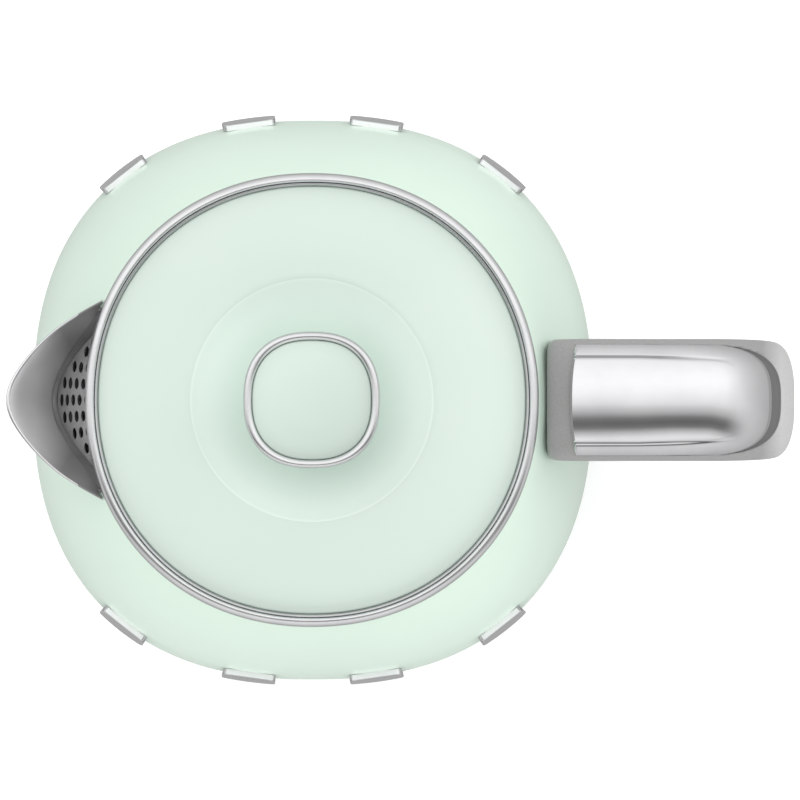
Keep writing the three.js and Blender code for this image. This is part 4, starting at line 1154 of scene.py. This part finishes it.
def switch_lever():
    x0, z0 = 61.0, 24.5  # the pivot

    def bar(*sections):
        """A loft along X of rounded rectangles given as (x, height, half-width, half-thickness, corner)."""
        verts, faces, starts = [], [], []
        for x, z, half, thick, corner in sections:
            starts.append(len(verts))
            outline = rounded_rect(half, thick, min(corner, half * 0.95, thick * 0.95), 5)
            verts += [(x, u, z0 + z + v) for u, v in outline]
            n = len(outline)
        for a, b in zip(starts, starts[1:]):
            faces += [(a + i, a + (i + 1) % n, b + (i + 1) % n, b + i) for i in range(n)]
        faces += [tuple(range(start, start + n)) for start in (starts[0], starts[-1])]
        return verts, faces

    arm = bar((34.0, 0, 2.6, 1.0, 0.9), (34.5, 0, 3.1, 1.5, 0.9), (69.0, 0, 3.2, 1.6, 0.8))
    paddle = bar(
        (68.0, 0.2, 6.4, 1.3, 0.8), (68.6, 0.15, 6.9, 1.75, 1.2), (74.0, -0.25, 7.0, 2.0, 1.4),
        (77.0, -0.9, 7.0, 1.9, 1.5), (80.5, -1.5, 6.9, 1.75, 1.5), (82.6, -1.85, 6.3, 1.45, 1.2),
        (83.6, -1.95, 5.2, 1.0, 0.9), (83.95, -2.0, 4.0, 0.45, 0.4),
    )
    hub = ring(round_profile([(1.8, -8.0), (3.0, -8.0), (3.0, 8.0), (1.8, 8.0)], 0.3), 40)
    hub = moved(hub, Matrix.Translation((x0, 0, z0)) @ Matrix.Rotation(math.pi / 2, 4, "X"))
    grips = []
    for k in range(3):
        x, drop = 76.2 + 1.7 * k, 0.33 * k
        grips.append(bar((x, 1.35 - drop, 4.6, 0.32, 0.3), (x + 0.7, 1.3 - drop, 4.6, 0.32, 0.3)))
    part = merge(arm, paddle, hub, *grips)
    piece("switch_paddle", part, "lever", M["chrome"], "switch_lever")


# ---------------------------------------------------------------- power base
def power_base():
    def turned(name, points, cut, n, key, node, closed=True):
        part = ring(round_profile(points, cut, closed), n, closed)
        piece(name, part, "power_base", M[key], node)

    hood = [
        (65.2, 3.4), (66.0, 4.8), (66.0, 11.0), (65.4, 12.8), (63.8, 15.0), (61.4, 17.0), (56.8, 17.0),
        (56.2, 16.4), (54.4, 16.4), (53.8, 17.0), (24.0, 17.0), (23.2, 16.3), (19.6, 16.3), (18.8, 17.0),
        (13.4, 17.0), (13.2, 16.6), (13.2, 14.8), (59.6, 14.8), (63.0, 11.5), (63.0, 3.4),
    ]
    turned("base_hood", hood, 0.7, 192, "grey", "base_housing")

    band = [(66.35, 5.2), (67.2, 5.2), (67.35, 5.6), (67.35, 10.0), (67.2, 10.4), (66.35, 10.4)]
    cord_gap = math.asin((4.6 + GAP) / 66.5)
    part = ring(round_profile(band, 0.18), 180, True, (cord_gap, 2 * math.pi - cord_gap))
    piece("base_band", part, "power_base", M["brushed"], "base_trim_ring")

    wells = [round_place(42, degrees) for degrees in (0, 120, 240)]
    holes = [[(u, -v) for u, v in reversed(circle(3.8, 28, at.translation))] for at in wells]

    def under(u, v, depth):
        return (u, -v, depth)

    disc = plate(circle(62.4, 120), holes, 6.0, under, 4.6, 1.6, 0.4)
    ribs = [
        ring(round_profile([(r, 1.25), (r + 1.0, 1.25), (r + 1.2, 1.8), (r - 0.2, 1.8)], 0.15), 120)
        for r in (16.0, 30.0, 57.5)
    ]
    well_floor = ring(round_profile([(1.8, 3.4), (3.9, 3.4), (3.9, 4.2), (1.8, 4.2)], 0.1), 28)
    part = merge(disc, *ribs, *[moved(well_floor, at) for at in wells])
    piece("base_underplate", part, "power_base", M["dark"], "base_cover")

    tower = [
        (0.0, 12.2), (16.0, 12.2), (16.0, 14.4), (12.9, 14.4), (12.6, 14.8), (12.6, 22.6), (12.0, 24.0),
        (10.2, 24.0), (9.9, 23.2), (9.5, 23.2), (8.2, 24.0), (8.2, 28.7), (7.6, 29.5), (3.4, 29.5),
        (2.6, 28.9), (2.6, 18.0), (0.0, 18.0),
    ]
    turned("connector_tower", tower, 0.3, 96, "dark", "connector_post", False)
    pin = [(0.0, 18.3), (2.0, 18.3), (2.0, 28.8), (1.6, 29.9), (0.8, 30.2), (0.0, 30.2)]
    turned("contact_pin", pin, 0.3, 40, "brass", "post_pin", False)
    contact = [(8.5, 24.3), (9.5, 24.3), (9.5, 26.2), (9.2, 26.6), (8.5, 26.6)]
    turned("contact_band", contact, 0.15, 72, "brass", "post_contact_ring")

    bush = [
        (3.2, 58.6), (4.6, 58.6), (4.6, 66.4), (4.2, 66.8), (4.2, 67.4),
        (4.6, 67.8), (4.6, 68.9), (4.1, 69.5), (3.5, 69.5), (3.2, 69.1),
    ]
    lying = Matrix.Translation((0, 0, 9.7)) @ Matrix.Rotation(math.pi / 2, 4, "Y")
    part = moved(ring(round_profile(bush, 0.25), 48), lying)
    piece("cord_bush", part, "power_base", M["dark"], "cord_gland")

    def pad(radius):
        profile = [
            (0.0, 1.3), (radius, 1.3), (radius, 0.35), (radius - 0.35, 0.0), (0.62 * radius, 0.0),
            (0.6 * radius, 0.25), (0.42 * radius, 0.25), (0.4 * radius, 0.0), (0.0, 0.0),
        ]
        return ring(round_profile(profile, 0.12, False), 56, False)

    piece("rubber_pad_centre", pad(10.0), "power_base", M["rubber"], "centre_foot")
    for i, degrees in enumerate((45, 135, 225, 315), 1):
        part = moved(pad(6.0), round_place(50, degrees))
        piece(f"rubber_pad_{i}", part, "power_base", M["rubber"], f"foot_{i}")


body_shell()
neck_ring()
spout_beak()
strainer()
handle_core()
handle_cap()
trim_tiles()
lid()
knob()
screws()
underside()
switch_lever()
power_base()


# ---------------------------------------------------------------- floor, light, camera
def studio():
    scene = bpy.context.scene
    scene.view_settings.view_transform = "Standard"

    floor_mesh = bpy.data.meshes.new("studio_floor")
    side = 30.0
    corners = [(-side, -side, 0), (side, -side, 0), (side, side, 0), (-side, side, 0)]
    floor_mesh.from_pydata(corners, [], [(0, 1, 2, 3)])
    floor = bpy.data.objects.new("studio_floor", floor_mesh)
    scene.collection.objects.link(floor)
    paper = Finish("pale_paper", 0.9, 0.0, Emission_Strength=0.2)
    paper.colour(paper.noise(3, 2), (0.93, 0.93, 0.93), (0.95, 0.95, 0.95))
    paper.shader.inputs["Emission Color"].default_value = (1, 1, 1, 1)
    floor_mesh.materials.append(paper.material)
    floor.visible_glossy = False

    world = bpy.data.worlds.new("soft_studio")
    scene.world = world
    world.use_nodes = True
    tree = world.node_tree
    backdrop = tree.nodes["Background"]
    direction = add_node(tree, "ShaderNodeTexCoord").outputs["Generated"]
    _, y, z = add_node(tree, "ShaderNodeSeparateXYZ", Vector=direction).outputs
    across = add_node(tree, "ShaderNodeMapRange", Value=y, From_Min=-1.0)
    ramp = add_node(tree, "ShaderNodeValToRGB", Fac=across.outputs[0])
    stops = [
        (0.0, 0.80), (0.15, 0.78), (0.20, 0.50), (0.25, 0.17), (0.2975, 0.12), (0.342, 0.18), (0.386, 0.42),
        (0.43, 0.59), (0.47, 0.78), (0.52, 0.87), (0.58, 0.96), (0.65, 1.02), (0.74, 1.0), (0.8, 0.95),
        (1.0, 0.8),
    ]
    line = ramp.color_ramp
    line.elements[0].position, line.elements[1].position = stops[0][0], stops[-1][0]
    for position, _ in stops[1:-1]:
        line.elements.new(position)
    for element, (_, value) in zip(line.elements, stops):
        element.color = (value, value, value, 1)
    height = add_node(tree, "ShaderNodeMapRange", Value=z, From_Min=-0.6, From_Max=0.5, To_Min=0.45)
    beyond = add_node(tree, "ShaderNodeMapRange", Value=z, From_Min=0.5, From_Max=-0.1)
    beyond.interpolation_type = "SMOOTHSTEP"
    mixed = tree.nodes.new("ShaderNodeMix")
    mixed.data_type = "RGBA"
    mixed.inputs[7].default_value = (0.86, 0.86, 0.86, 1)
    tree.links.new(beyond.outputs[0], mixed.inputs["Factor"])
    tree.links.new(ramp.outputs["Color"], mixed.inputs[6])
    shade = tree.nodes.new("ShaderNodeVectorMath")
    shade.operation = "SCALE"
    tree.links.new(mixed.outputs[2], shade.inputs[0])
    tree.links.new(height.outputs[0], shade.inputs["Scale"])
    tree.links.new(shade.outputs[0], backdrop.inputs["Color"])
    backdrop.inputs["Strength"].default_value = 1.15

    def softbox(name, at, size, power):
        data = bpy.data.lights.new(name, "AREA")
        data.shape, data.size, data.size_y, data.energy = "RECTANGLE", size[0], size[1], power
        lamp = bpy.data.objects.new(name, data)
        lamp.location = at
        lamp.rotation_mode = "QUATERNION"
        lamp.rotation_quaternion = (Vector((0, 0, 0.1)) - Vector(at)).to_track_quat("-Z", "Y")
        lamp.visible_camera = False
        lamp.visible_glossy = False
        scene.collection.objects.link(lamp)

    softbox("overhead_box", (-0.28, 0.2, 1.45), (2.4, 2.2), 10.2)
    boxes = (("right_box", 15, 4.2), ("front_box", 300, 4.6), ("near_box", 235, 3.6), ("far_box", 115, 1.4))
    for name, degrees, power in boxes:
        angle = math.radians(degrees)
        softbox(name, (1.3 * math.cos(angle), 1.3 * math.sin(angle), 0.38), (1.2, 0.5), power)

    lens = bpy.data.cameras.new("long_lens")
    camera = bpy.data.objects.new("long_lens", lens)
    lens.lens, lens.sensor_width = 1200.0, 36.0
    width = 0.2268
    camera.location = (0.0248, 0.0, 0.12 + width * lens.lens / lens.sensor_width)
    camera.rotation_euler = (0, 0, 0)
    lens.clip_start, lens.clip_end = 0.1, 60.0
    scene.collection.objects.link(camera)
    scene.camera = camera


studio()
